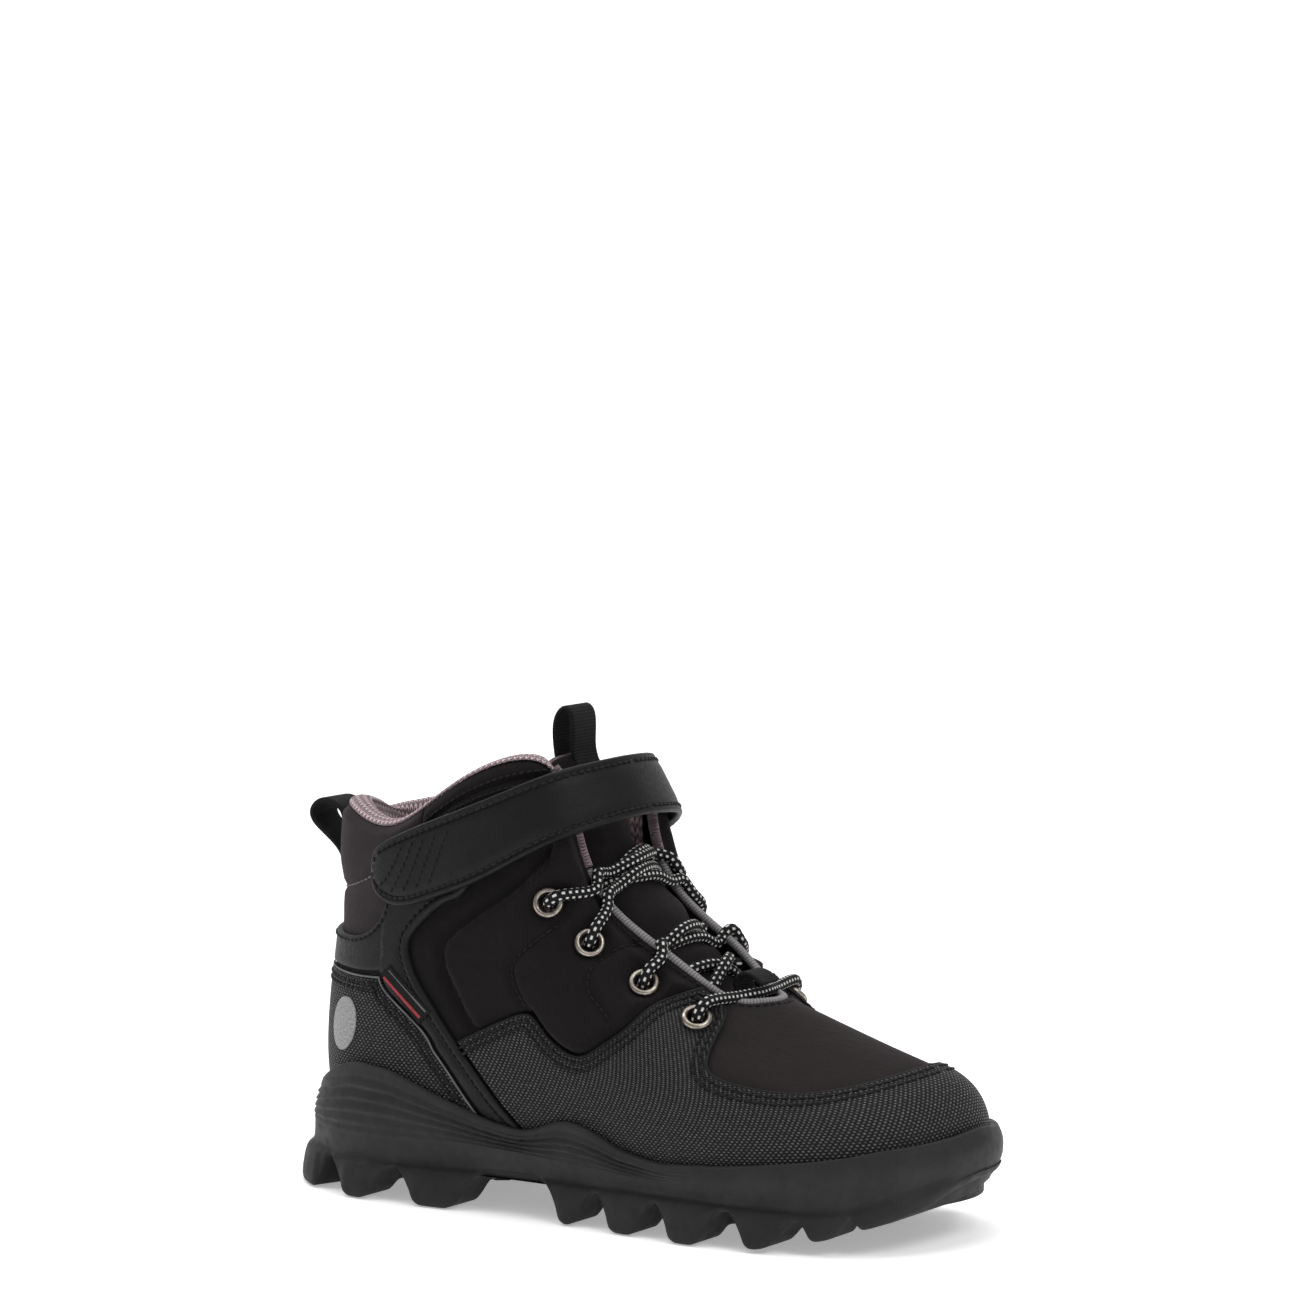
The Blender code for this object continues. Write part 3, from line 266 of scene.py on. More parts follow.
def outline_at(u):
    u = np.asarray(u, float) % STATIONS
    i = np.floor(u).astype(int) % STATIONS
    j = (i + 1) % STATIONS
    t = (u - np.floor(u))[..., None]
    return bent(1 - t, t, OUTLINE[i], OUTLINE[j], OUTLINE_BEND[i], OUTLINE_BEND[j])


def along_x(table, x):
    return np.interp(x, [t[0] for t in table], [t[1] for t in table])


def reach(u):
    """Stations from the heel centre, on either side."""
    u = np.asarray(u, float) % STATIONS
    return np.minimum(u, STATIONS - u)


# length tables that flatten the last for the weave and grain of its panels, in millimetres
TABLE_U = np.arange(-6, 26.01, 0.05)
TABLE_V = np.arange(0, 6.01, 0.1)
grid_points = last_face(TABLE_U[:, None], TABLE_V[None, :])
step_u = np.linalg.norm(np.diff(grid_points, axis=0), axis=2)
step_v = np.linalg.norm(np.diff(grid_points, axis=1), axis=2)
LENGTH_U = np.vstack([np.zeros((1, len(TABLE_V))), np.cumsum(step_u, axis=0)])
LENGTH_V = np.hstack([np.zeros((len(TABLE_U), 1)), np.cumsum(step_v, axis=1)])


def lookup(table, u, v):
    x = (np.asarray(u, float) - TABLE_U[0]) / 0.05
    y = np.clip(np.asarray(v, float), 0, 6) / 0.1
    i = np.clip(x.astype(int), 0, len(TABLE_U) - 2)
    j = np.clip(y.astype(int), 0, len(TABLE_V) - 2)
    a, b = x - i, y - j
    return ((1 - a) * (1 - b) * table[i, j] + a * (1 - b) * table[i + 1, j]
            + (1 - a) * b * table[i, j + 1] + a * b * table[i + 1, j + 1])


def flat_uv(u, v, start):
    """Millimetres along the last from station start, and up it."""
    start_u = np.full(np.shape(u), float(start))
    return np.stack([lookup(LENGTH_U, u, v) - lookup(LENGTH_U, start_u, v), lookup(LENGTH_V, u, v)], -1)


# ---------------------------------------------------------------- materials
class Paint:
    """One procedural material and the few node helpers it is built with."""

    def __init__(self, name, colour, roughness, **sockets):
        self.mat = bpy.data.materials.new(name)
        self.mat.use_nodes = True
        self.tree = self.mat.node_tree
        self.shader = self.tree.nodes["Principled BSDF"]
        self.shader.inputs["Base Color"].default_value = (*colour, 1)
        self.shader.inputs["Roughness"].default_value = roughness
        for key, value in sockets.items():
            self.shader.inputs[key.replace("_", " ")].default_value = value

    def new(self, kind):
        return self.tree.nodes.new("ShaderNode" + kind)

    def put(self, socket, value):
        if isinstance(value, bpy.types.NodeSocket):
            self.tree.links.new(value, socket)
        else:
            socket.default_value = value

    def math(self, operation, a, b=0.0, c=0.0):
        node = self.new("Math")
        node.operation = operation
        for socket, value in zip(node.inputs, (a, b, c)):
            self.put(socket, value)
        return node.outputs[0]

    def coords(self, kind="UV"):
        return self.new("TexCoord").outputs[kind]

    def split(self, vector):
        node = self.new("SeparateXYZ")
        self.put(node.inputs[0], vector)
        return node.outputs[0], node.outputs[1]

    def noise(self, vector, scale, detail=3.0, roughness=0.55):
        node = self.new("TexNoise")
        self.put(node.inputs["Vector"], vector)
        node.inputs["Scale"].default_value = scale
        node.inputs["Detail"].default_value = detail
        node.inputs["Roughness"].default_value = roughness
        return node.outputs[0]

    def cells(self, vector, scale):
        node = self.new("TexVoronoi")
        self.put(node.inputs["Vector"], vector)
        node.inputs["Scale"].default_value = scale
        return node.outputs["Distance"]

    def spread(self, value, low, high, to_low=0.0, to_high=1.0):
        node = self.new("MapRange")
        for socket, number in zip(node.inputs, (value, low, high, to_low, to_high)):
            self.put(socket, number)
        return node.outputs[0]

    def mix(self, share, a, b):
        node = self.new("Mix")
        node.data_type = "RGBA"
        self.put(node.inputs[0], share)
        self.put(node.inputs[6], a if isinstance(a, bpy.types.NodeSocket) else (*a, 1))
        self.put(node.inputs[7], b if isinstance(b, bpy.types.NodeSocket) else (*b, 1))
        return node.outputs[2]

    def paint(self, colour):
        self.put(self.shader.inputs["Base Color"], colour)

    def rough(self, value):
        self.put(self.shader.inputs["Roughness"], value)

    def bump(self, height, distance):
        """Adds relief, distance in millimetres for a height of one."""
        node = self.new("Bump")
        node.inputs["Strength"].default_value = 1.0
        node.inputs["Distance"].default_value = distance * 0.001
        self.put(node.inputs["Height"], height)
        old = self.shader.inputs["Normal"].links
        if old:
            self.tree.links.new(old[0].from_socket, node.inputs["Normal"])
        self.tree.links.new(node.outputs[0], self.shader.inputs["Normal"])

    def times(self, a, b):
        return self.math("MULTIPLY", a, b)

    def plus(self, a, b):
        return self.math("ADD", a, b)

    def minus(self, a, b):
        return self.math("SUBTRACT", a, b)

    def centred(self, value):
        """Signed distance from the middle of each whole step."""
        return self.minus(self.math("FRACT", value), 0.5)

    def fold(self, value):
        """Distance from the middle of each whole step."""
        return self.math("ABSOLUTE", self.centred(value))

    def dots(self, x, y):
        """Distance from the middle of the cell on a staggered lattice."""
        shifted = self.plus(x, self.times(self.math("MODULO", self.math("FLOOR", y), 2.0), 0.5))
        return self.math("MAXIMUM", self.fold(shifted), self.fold(y))


def tint(colour, share):
    return tuple(c * share for c in colour)


def nubuck(name, colour):
    p = Paint(name, colour, 0.88, Specular_IOR_Level=0.10, Sheen_Weight=0.06, Sheen_Roughness=0.4,
              Sheen_Tint=(0.8, 0.66, 0.70, 1))
    uv = p.coords()
    cloud = p.noise(uv, 0.11, 4.0)
    nap = p.noise(uv, 1.9, 3.0)
    raised = p.spread(nap, 0.3, 0.7)
    p.paint(p.mix(p.spread(cloud, 0.35, 0.68), p.mix(raised, tint(colour, 0.72), tint(colour, 0.95)),
                  p.mix(raised, tint(colour, 1.0), tint(colour, 1.32))))
    p.rough(p.spread(cloud, 0.3, 0.7, 0.8, 0.95))
    p.bump(p.noise(uv, 4.5, 2.0), 0.09)
    p.bump(p.noise(uv, 0.35, 3.0), 0.22)
    return p.mat


def leather(name, colour, roughness=0.5):
    p = Paint(name, colour, roughness, Specular_IOR_Level=0.2)
    uv = p.coords()
    grain = p.cells(uv, 1.5)
    cloud = p.noise(uv, 0.12, 3.0)
    p.paint(p.mix(p.spread(cloud, 0.35, 0.65), tint(colour, 0.85), tint(colour, 1.25)))
    p.rough(p.spread(p.noise(uv, 0.8, 3.0), 0.3, 0.7, roughness - 0.06, roughness + 0.1))
    p.bump(grain, 0.05)
    p.bump(p.noise(uv, 3.2, 3.0), 0.05)
    return p.mat


def coated_weave(name):
    dark, light = (0.0030, 0.0030, 0.0032), (0.15, 0.15, 0.155)
    p = Paint(name, dark, 0.5, Specular_IOR_Level=0.25)
    uv = p.coords()
    x, y = p.split(uv)
    fx = p.centred(p.times(p.plus(x, y), 0.70))
    fy = p.centred(p.times(p.minus(x, y), 0.70))
    along = p.math("ABSOLUTE", p.plus(fx, fy))
    over = p.math("ABSOLUTE", p.minus(fx, fy))
    knob = p.spread(p.math("MAXIMUM", p.times(along, 0.62), over), 0.44, 0.14)
    wear = p.spread(p.noise(uv, 0.9, 2.0), 0.32, 0.66, 0.25, 1.0)
    # The knob tips are painted light: partly the coating's own light dots, partly a painted highlight on each
    # raised knob.
    p.paint(p.mix(p.times(p.math("POWER", knob, 2.0), wear), dark, light))
    p.rough(p.spread(knob, 0.0, 1.0, 0.75, 0.42))
    p.bump(knob, 0.28)
    return p.mat


def moulded(name, colour, roughness=0.6):
    p = Paint(name, colour, roughness, Specular_IOR_Level=0.2)
    where = p.coords("Object")
    cloud = p.noise(where, 60.0, 4.0)
    p.paint(p.mix(p.spread(cloud, 0.35, 0.68), tint(colour, 0.85), tint(colour, 1.2)))
    p.rough(p.spread(p.noise(where, 300.0, 3.0), 0.3, 0.7, roughness - 0.08, roughness + 0.1))
    p.bump(p.noise(where, 1500.0, 3.0), 0.05)
    p.bump(p.noise(where, 180.0, 2.0), 0.10)
    return p.mat


def knit(name, colour, pitch, tall):
    p = Paint(name, colour, 0.95, Specular_IOR_Level=0.2, Sheen_Weight=0.5, Sheen_Roughness=0.5,
              Sheen_Tint=(0.9, 0.8, 0.84, 1))
    uv = p.coords()
    x, y = p.split(uv)
    column = p.times(x, 1 / pitch)
    arm = p.times(p.fold(column), 2.0)
    row = p.plus(p.times(y, 1 / (pitch * tall)), p.times(arm, 0.7))
    wave = p.fold(row)
    loop = p.spread(wave, 0.5, 0.12)
    gap = p.spread(arm, 0.98, 0.72)
    height = p.times(loop, gap)
    fuzz = p.noise(uv, 3.5, 3.0)
    # Painted shade and light: the gaps between the loops are painted dark and the loop tops lighter,
    # following the knit's relief.
    p.paint(p.mix(p.times(height, p.spread(fuzz, 0.25, 0.6, 0.6, 1.0)), tint(colour, 0.24),
                  tint(colour, 1.3)))
    p.bump(height, 0.8)
    p.bump(fuzz, 0.15)
    return p.mat


def ribbed(name, colour, pitch=0.85):
    p = Paint(name, colour, 0.78, Specular_IOR_Level=0.15)
    x, y = p.split(p.coords())
    rib = p.fold(p.times(x, 1 / pitch))
    yarn = p.fold(p.times(y, 2.0))
    height = p.plus(p.spread(rib, 0.5, 0.1), p.times(yarn, 0.35))
    # Painted shade and light: the grooves between the ribs are painted dark and the rib tops lighter.
    p.paint(p.mix(p.spread(rib, 0.5, 0.05), tint(colour, 0.5), tint(colour, 1.7)))
    p.bump(height, 0.12)
    return p.mat


def diagonal_tape(name, colour):
    p = Paint(name, colour, 0.5)
    x, y = p.split(p.coords())
    slant = p.plus(p.times(x, 1.15), p.times(y, 0.9))
    twill = p.fold(slant)
    fine = p.noise(p.coords(), 2.5, 2.0)
    # Painted shade and light: the twill's grooves are painted dark and its ridges lighter; the fine noise is
    # the tape's own uneven tone.
    p.paint(p.mix(p.times(p.spread(twill, 0.5, 0.1), p.spread(fine, 0.2, 0.7, 0.7, 1.0)),
                  tint(colour, 0.5), tint(colour, 1.45)))
    p.bump(p.spread(twill, 0.5, 0.08), 0.12)
    return p.mat


def flecked_cord(name):
    dark, light = (0.006, 0.006, 0.0065), (0.66, 0.66, 0.64)
    p = Paint(name, dark, 0.72, Specular_IOR_Level=0.15)
    x, y = p.split(p.coords())
    along = p.times(x, 1 / FLECK)
    round_ = p.times(y, 6.0)
    away = p.dots(along, round_)
    fleck = p.spread(away, 0.25, 0.17)
    strand = p.times(x, 2 / FLECK)
    weave = p.plus(p.fold(p.plus(strand, round_)), p.fold(p.minus(strand, round_)))
    # Painted shade and light: the braid's grooves are painted dark and its crossings lighter; the light
    # flecks are the cord's own colour.
    yarn = p.mix(p.spread(weave, 0.25, 0.9), tint(dark, 0.5), tint(dark, 2.2))
    p.paint(p.mix(fleck, yarn, light))
    p.bump(weave, 0.30)
    p.bump(fleck, 0.15)
    return p.mat


def metal(name, colour, roughness):
    p = Paint(name, colour, roughness, Metallic=1.0)
    where = p.coords("Object")
    patina = p.noise(where, 700.0, 4.0)
    p.paint(p.mix(p.spread(patina, 0.38, 0.62), tint(colour, 0.55), colour))
    p.rough(p.spread(patina, 0.35, 0.65, roughness + 0.12, roughness - 0.05))
    p.bump(p.noise(where, 2500.0, 2.0), 0.02)
    return p.mat


def print_ink(name, colour):
    p = Paint(name, colour, 0.5)
    uv = p.coords()
    p.paint(p.mix(p.spread(p.noise(uv, 1.6, 3.0), 0.35, 0.6), tint(colour, 0.6), tint(colour, 1.1)))
    p.bump(p.noise(uv, 3.0, 2.0), 0.04)
    return p.mat


def felt(name, colour):
    p = Paint(name, colour, 0.95, Sheen_Weight=0.2)
    uv = p.coords("Object")
    p.paint(p.mix(p.noise(uv, 1500.0, 3.0), tint(colour, 0.6), tint(colour, 1.4)))
    p.bump(p.noise(uv, 2500.0, 3.0), 0.3)
    return p.mat


VAMP_COLOUR = (0.0185, 0.0152, 0.0155)
# Painted light: the heel panel's nubuck is a lighter, lit copy of the vamp's, for the light falling on the
# heel.
HEEL_LIT_COLOUR = (0.030, 0.0255, 0.0275)
NUBUCK = nubuck("nubuck", VAMP_COLOUR)
# Painted shade: a darker, shaded copy of the same nubuck, used on the quarters and the tongue, which face
# away from the light.
NUBUCK_SHADED = nubuck("nubuck_shaded", (0.0088, 0.0076, 0.0080))
NUBUCK_LIT = nubuck("nubuck_lit", HEEL_LIT_COLOUR)
LEATHER_MAT = leather("smooth_leather", (0.0036, 0.0036, 0.0038), 0.46)
LEATHER_STAY = leather("stay_leather", (0.0068, 0.0068, 0.0071), 0.48)
WEAVE = coated_weave("coated_weave")
FOAM_MAT = moulded("midsole_foam", (0.0185, 0.0185, 0.0191), 0.58)
RUBBER = moulded("outsole_rubber", (0.0175, 0.0175, 0.0180), 0.62)
KNIT = knit("mauve_knit", (0.60, 0.45, 0.475), 1.7, 1.15)
KNIT_EDGE = knit("mauve_edge", (0.24, 0.165, 0.182), 0.9, 0.8)
WEBBING = ribbed("webbing", (0.0075, 0.0075, 0.0078))
TAPE = diagonal_tape("grey_piping", (0.165, 0.158, 0.158))
CORD = flecked_cord("lace_cord")
NICKEL = metal("antique_nickel", (0.40, 0.36, 0.31), 0.30)
THREAD = leather("thread", (0.006, 0.006, 0.006), 0.6)
THREAD_GREY = leather("grey_edge", (0.12, 0.12, 0.125), 0.6)
THREAD_LIGHT = leather("light_thread", (0.16, 0.13, 0.14), 0.7)
INK = print_ink("badge_ink", (0.27, 0.27, 0.275))
HOOK = felt("hook_tape", (0.015, 0.015, 0.015))
FOAM = felt("foam", (0.5, 0.47, 0.42))
RED = print_ink("label_red", (0.30, 0.012, 0.02))


# ---------------------------------------------------------------- mesh helpers
def world(points):
    return (np.asarray(points, float) + SHIFT) * MM


def make(name, points, faces, mat, uv=None, sharp=None):
    """Mesh object from pattern points; uv holds one pair for each point."""
    data = bpy.data.meshes.new(name)
    data.from_pydata(world(points).tolist(), [], [list(map(int, f)) for f in faces])
    data.polygons.foreach_set("use_smooth", [True] * len(data.polygons))
    if uv is not None:
        layer = data.uv_layers.new(name="flat")
        corner = np.zeros(len(data.loops), int)
        data.loops.foreach_get("vertex_index", corner)
        layer.data.foreach_set("uv", np.asarray(uv, np.float32)[corner].ravel())
    data.materials.append(mat)
    if sharp:
        data.set_sharp_from_angle(angle=sharp * pi / 180)
    obj = bpy.data.objects.new(name, data)
    bpy.context.scene.collection.objects.link(obj)
    return obj


def own(obj, body, slot, *nodes, fill=None):
    """Fixes the piece to its body; fill is not used."""
    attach(obj, body)
    if nodes:
        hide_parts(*nodes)
    return obj


def bridge(obj, bodies, start, end, slot, *nodes):
    """Bakes the piece's transform into its mesh and hides the given parts; it is not bent, and bodies, start
    and end are not used.
    """
    tuple(world(start))
    tuple(world(end))
    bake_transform(obj)
    if nodes:
        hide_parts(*nodes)


def grid_faces(rows, columns, close_rows=False, close_columns=False, start=0):
    """Quads of a grid stored row by row."""
    r = np.arange(rows if close_rows else rows - 1)
    c = np.arange(columns if close_columns else columns - 1)
    a, b = np.meshgrid(r, c, indexing="ij")
    a2, b2 = (a + 1) % rows, (b + 1) % columns
    quads = np.stack([a * columns + b, a * columns + b2, a2 * columns + b2, a2 * columns + b], -1)
    return (quads.reshape(-1, 4) + start).tolist()


def outward(obj, weld=0.0, flatten=0.0):
    """Welds points closer than weld, drops edges shorter than flatten, and turns the faces outward."""
    bm = bmesh.new()
    bm.from_mesh(obj.data)
    if weld:
        bmesh.ops.remove_doubles(bm, verts=bm.verts, dist=weld)
    if flatten:
        bmesh.ops.dissolve_degenerate(bm, edges=bm.edges, dist=flatten)
    bmesh.ops.recalc_face_normals(bm, faces=bm.faces)
    bm.to_mesh(obj.data)
    bm.free()


def tree_of(points):
    tree = KDTree(len(points))
    for i, p in enumerate(points):
        tree.insert(p, i)
    tree.balance()
    return tree


def distance_to(tree, points):
    return np.array([tree.find(p)[2] for p in points])


def inside(points, polygon):
    """Which 2-D points lie inside the polygon."""
    x, y = points[:, 0][:, None], points[:, 1][:, None]
    a, b = polygon, np.roll(polygon, -1, 0)
    crosses = (a[:, 1] > y) != (b[:, 1] > y)
    with np.errstate(divide="ignore", invalid="ignore"):
        at = (b[:, 0] - a[:, 0]) * (y - a[:, 1]) / (b[:, 1] - a[:, 1]) + a[:, 0]
    return (np.sum(crosses & (x < at), axis=1) % 2) == 1


def refine(line, step, closed=False):
    """Adds points so that the (u, v) line's spacing on the last is at most step."""
    line = np.array(line, float)
    points = face_of(line)
    count = len(line)
    out = []
    for i in range(count if closed else count - 1):
        j = (i + 1) % count
        gap = np.linalg.norm(points[j] - points[i])
        if gap < 0.08:
            continue
        k = max(1, int(np.ceil(gap / step)))
        out += [line[i] + (line[j] - line[i]) * t / k for t in range(k)]
    if not closed:
        out.append(line[-1])
    return np.array(out)


def offset(line, amount, closed=False):
    """The (u, v) line moved to its left by the amount in millimetres."""
    line = np.array(line, float)
    points = face_of(line)
    if closed:
        tangent = np.roll(points, -1, 0) - np.roll(points, 1, 0)
    else:
        tangent = np.gradient(points, axis=0)
    tangent /= np.maximum(np.linalg.norm(tangent, axis=1, keepdims=True), 1e-9)
    du, dv, n = partials(*line.T)
    left = np.cross(n, tangent)
    e, f, g = (du * du).sum(1), (du * dv).sum(1), (dv * dv).sum(1)
    p, q = (left * du).sum(1), (left * dv).sum(1)
    det = e * g - f * f
    return line + amount * np.stack([(p * g - q * f) / det, (q * e - p * f) / det], 1)


def arc(points, per=6):
    return [tuple(p) for p in open_curve(points, (len(points) - 1) * per + 1)]


def mirrored(points):
    return [(STATIONS - u, v) for u, v in points]


def oriented(outline):
    outline = np.array(outline, float)
    nxt = np.roll(outline, -1, 0)
    area = np.sum(outline[:, 0] * nxt[:, 1] - nxt[:, 0] * outline[:, 1])
    return outline if area > 0 else outline[::-1]


def panel(name, outline, low, high, mat, start=0.0, relief=None, lines=(), holes=(), step=1.5, edge=0.5,
          sharp=50):
    """Piece cut to a (u, v) outline and wrapped on the last, with a rounded edge.

    low and high are the heights of its two faces. relief(u, v) adds to the outer one. Each of lines is
    (line, depth, width), a groove pressed into it. holes are (centre point, radius).
    """
    border = refine(oriented(outline), 0.7, closed=True)
    border_points = face_of(border)
    sets = [border] + [offset(border, m, closed=True) for m in (0.15, edge)]
    for line, depth, width in lines:
        fine = refine(line, 0.9)
        sets += [fine] + [offset(fine, m * width) for m in (-1.6, -0.7, 0.7, 1.6)]
    for centre, radius in holes:
        _, _, (centre_u, centre_v) = centre
        du, dv, n = partials(np.array([centre_u]), np.array([centre_v]))
        ring = []
        for k in range(24):
            a = 2 * pi * k / 24
            side = du[0] / np.linalg.norm(du[0])
            up = np.cross(n[0], side)
            want = side * cos(a) * radius + up * sin(a) * radius
            m = np.linalg.lstsq(np.stack([du[0], dv[0]], 1), want, rcond=None)[0]
            ring.append((centre_u + m[0], centre_v + m[1]))
        sets.append(np.array(ring))
    lo, hi = border.min(0), border.max(0)
    us = np.arange(lo[0], hi[0], step / 24)
    vs = np.arange(lo[1], hi[1], step / 17)
    lattice = np.stack(np.meshgrid(us, vs), -1).reshape(-1, 2)
    lattice[:, 0] += np.where((np.round((lattice[:, 1] - lo[1]) / (step / 17)).astype(int) % 2) == 1,
                              step / 48, 0)
    lattice = lattice[inside(lattice, border)]
    border_tree = tree_of(border_points)
    if len(lattice):
        away = distance_to(border_tree, face_of(lattice))
        lattice = lattice[away > edge + 0.45]
    if len(lattice) and len(sets) > 3:
        extra = np.vstack(sets[3:])
        away = distance_to(tree_of(face_of(extra)), face_of(lattice))
        lattice = lattice[away > 0.5]
    inner = [s[inside(s, border)] for s in sets[1:]]
    inner = [s[distance_to(border_tree, face_of(s)) > 0.08] for s in inner if len(s)]
    flat = np.vstack([border] + inner + [lattice])
    scaled = flat * (22.0, 16.0)
    n = len(border)
    verts, _, faces, _, _, _ = delaunay_2d_cdt([Vector(p) for p in scaled], [],
                                               [list(range(n))], 1, 1e-4)
    uvs = np.array([tuple(p) for p in verts]) / (22.0, 16.0)
    faces = [f for f in faces if len(f) == 3]
    base = face_of(uvs)
    for centre, radius in holes:
        near = np.linalg.norm(base - centre[0], axis=1) < radius * 1.02
        faces = [f for f in faces if not (near[f[0]] and near[f[1]] and near[f[2]])]
    away = distance_to(tree_of(last_face(*refine(border, 0.25, closed=True).T)), base)
    rise = 0.3 + 0.7 * dome(away / edge)
    low_all = low(uvs[:, 0], uvs[:, 1]) if callable(low) else np.full(len(uvs), float(low))
    height = low_all + (high - low_all) * rise
    if relief is not None:
        height = height + relief(uvs[:, 0], uvs[:, 1]) * smooth(away / 2.5)
    for line, depth, width in lines:
        fine = refine(line, 0.3)
        gap = distance_to(tree_of(face_of(fine)), base)
        height = height - depth * np.exp(-(gap / width) ** 2)
    normal = partials(*uvs.T)[2]
    outer = base + normal * height[:, None]
    inner_face = base + normal * low_all[:, None]
    count = len(uvs)
    edges = {}
    for f in faces:
        for a, b in ((f[0], f[1]), (f[1], f[2]), (f[2], f[0])):
            edges[(a, b)] = edges.get((a, b), 0) + 1
    skirt = [(b, a, a + count, b + count) for a, b in edges if (b, a) not in edges]
    probe = np.array(faces[len(faces) // 2])
    turn = np.cross(outer[probe[1]] - outer[probe[0]], outer[probe[2]] - outer[probe[0]])
    all_faces = [tuple(f) for f in faces] + [tuple(i + count for i in reversed(f)) for f in faces] + skirt
    if turn @ normal[probe[0]] < 0:
        all_faces = [tuple(reversed(f)) for f in all_faces]
    flat_mm = flat_uv(uvs[:, 0], uvs[:, 1], start)
    return make(name, np.vstack([outer, inner_face]), all_faces, mat, np.vstack([flat_mm, flat_mm]), sharp)


def frames(path):
    """Tangents and two steady side directions along a path."""
    path = np.asarray(path, float)
    tangent = unit(np.gradient(path, axis=0))
    side = np.cross(tangent[0], (0, 0, 1.0))
    if np.linalg.norm(side) < 0.1:
        side = np.cross(tangent[0], (0, 1.0, 0))
    sides = []
    for t in tangent:
        side = side - t * (side @ t)
        side = side / np.linalg.norm(side)
        sides.append(side)
    sides = np.array(sides)
    return tangent, sides, np.cross(tangent, sides)


def hose(path, radius, around):
    """Rings of points round the path, and their (along, round) places."""
    _, side, up = frames(path)
    angle = np.linspace(0, 2 * pi, around + 1)
    circle = np.cos(angle)[None, :, None] * side[:, None] + np.sin(angle)[None, :, None] * up[:, None]
    uv = np.stack(np.broadcast_arrays(lengths(path)[:, None], (angle / (2 * pi))[None, :]), -1)
    return path[:, None] + circle * radius[..., None], uv


def tube(name, path, radius, mat, around=14):
    """Closed cord through the points."""
    points, uv = hose(path, np.full((len(path), 1), radius), around)
    last = (len(path) - 1) * (around + 1)
    caps = [tuple(range(around))[::-1], tuple(last + k for k in range(around))]
    obj = make(name, points.reshape(-1, 3), grid_faces(len(path), around + 1) + caps, mat, uv.reshape(-1, 2))
    outward(obj, weld=1e-6)
    return obj


STITCH_RINGS, STITCH_SIDES = 7, 6
HEAVY = {"pitch": 2.3, "share": 0.74, "radius": 0.47}
STITCH_ROWS = {}


def stitch_row(group, points, normals, pitch=2.1, share=0.70, radius=0.36, lift=0.12):
    """Adds a row of thread stitches along the points to the group."""
    run = lengths(points)
    count = max(1, int(run[-1] / pitch))
    first = (run[-1] - count * pitch) / 2
    t = np.linspace(0, 1, STITCH_RINGS)
    for k in range(count):
        at = first + k * pitch + t * pitch * share
        centre = sample(at, run, points)
        n = unit(sample(at, run, normals))
        bow = np.sqrt(np.clip(1 - (2 * t - 1) ** 4, 0, 1))
        centre = centre + n * (lift - 0.45 * (1 - bow))[:, None]
        way = unit(np.gradient(centre, axis=0))
        side = unit(np.cross(way, n))
        up = np.cross(side, way)
        size = radius * (0.55 + 0.45 * bow)
        a = np.arange(STITCH_SIDES) * 2 * pi / STITCH_SIDES
        circle = np.cos(a)[None, :, None] * side[:, None] + np.sin(a)[None, :, None] * up[:, None]
        ring = centre[:, None] + circle * size[:, None, None]
        STITCH_ROWS.setdefault(group, []).append(ring.reshape(-1, 3))


def stitch_line(group, line, height, **style):
    """Row of stitches along a (u, v) line at the given height on the last."""
    fine = refine(line, 0.7)
    h = height(fine[:, 0], fine[:, 1]) if callable(height) else height
    stitch_row(group, on_last(*fine.T, h), partials(*fine.T)[2], **style)


def thread(group, mat):
    """Turns the group's rows into one piece."""
    size = STITCH_RINGS * STITCH_SIDES
    stitches = STITCH_ROWS.pop(group)
    faces = []
    for start in range(0, len(stitches) * size, size):
        faces += grid_faces(STITCH_RINGS, STITCH_SIDES, close_columns=True, start=start)
        faces += [tuple(start + k for k in range(STITCH_SIDES)),
                  tuple(start + size - STITCH_SIDES + k for k in reversed(range(STITCH_SIDES)))]
    points = np.vstack(stitches)
    return make(group, points, [tuple(reversed(f)) for f in faces], mat, points[:, [0, 2]])


def sew(group, mat, body, slot):
    return own(thread(group, mat), body, slot)


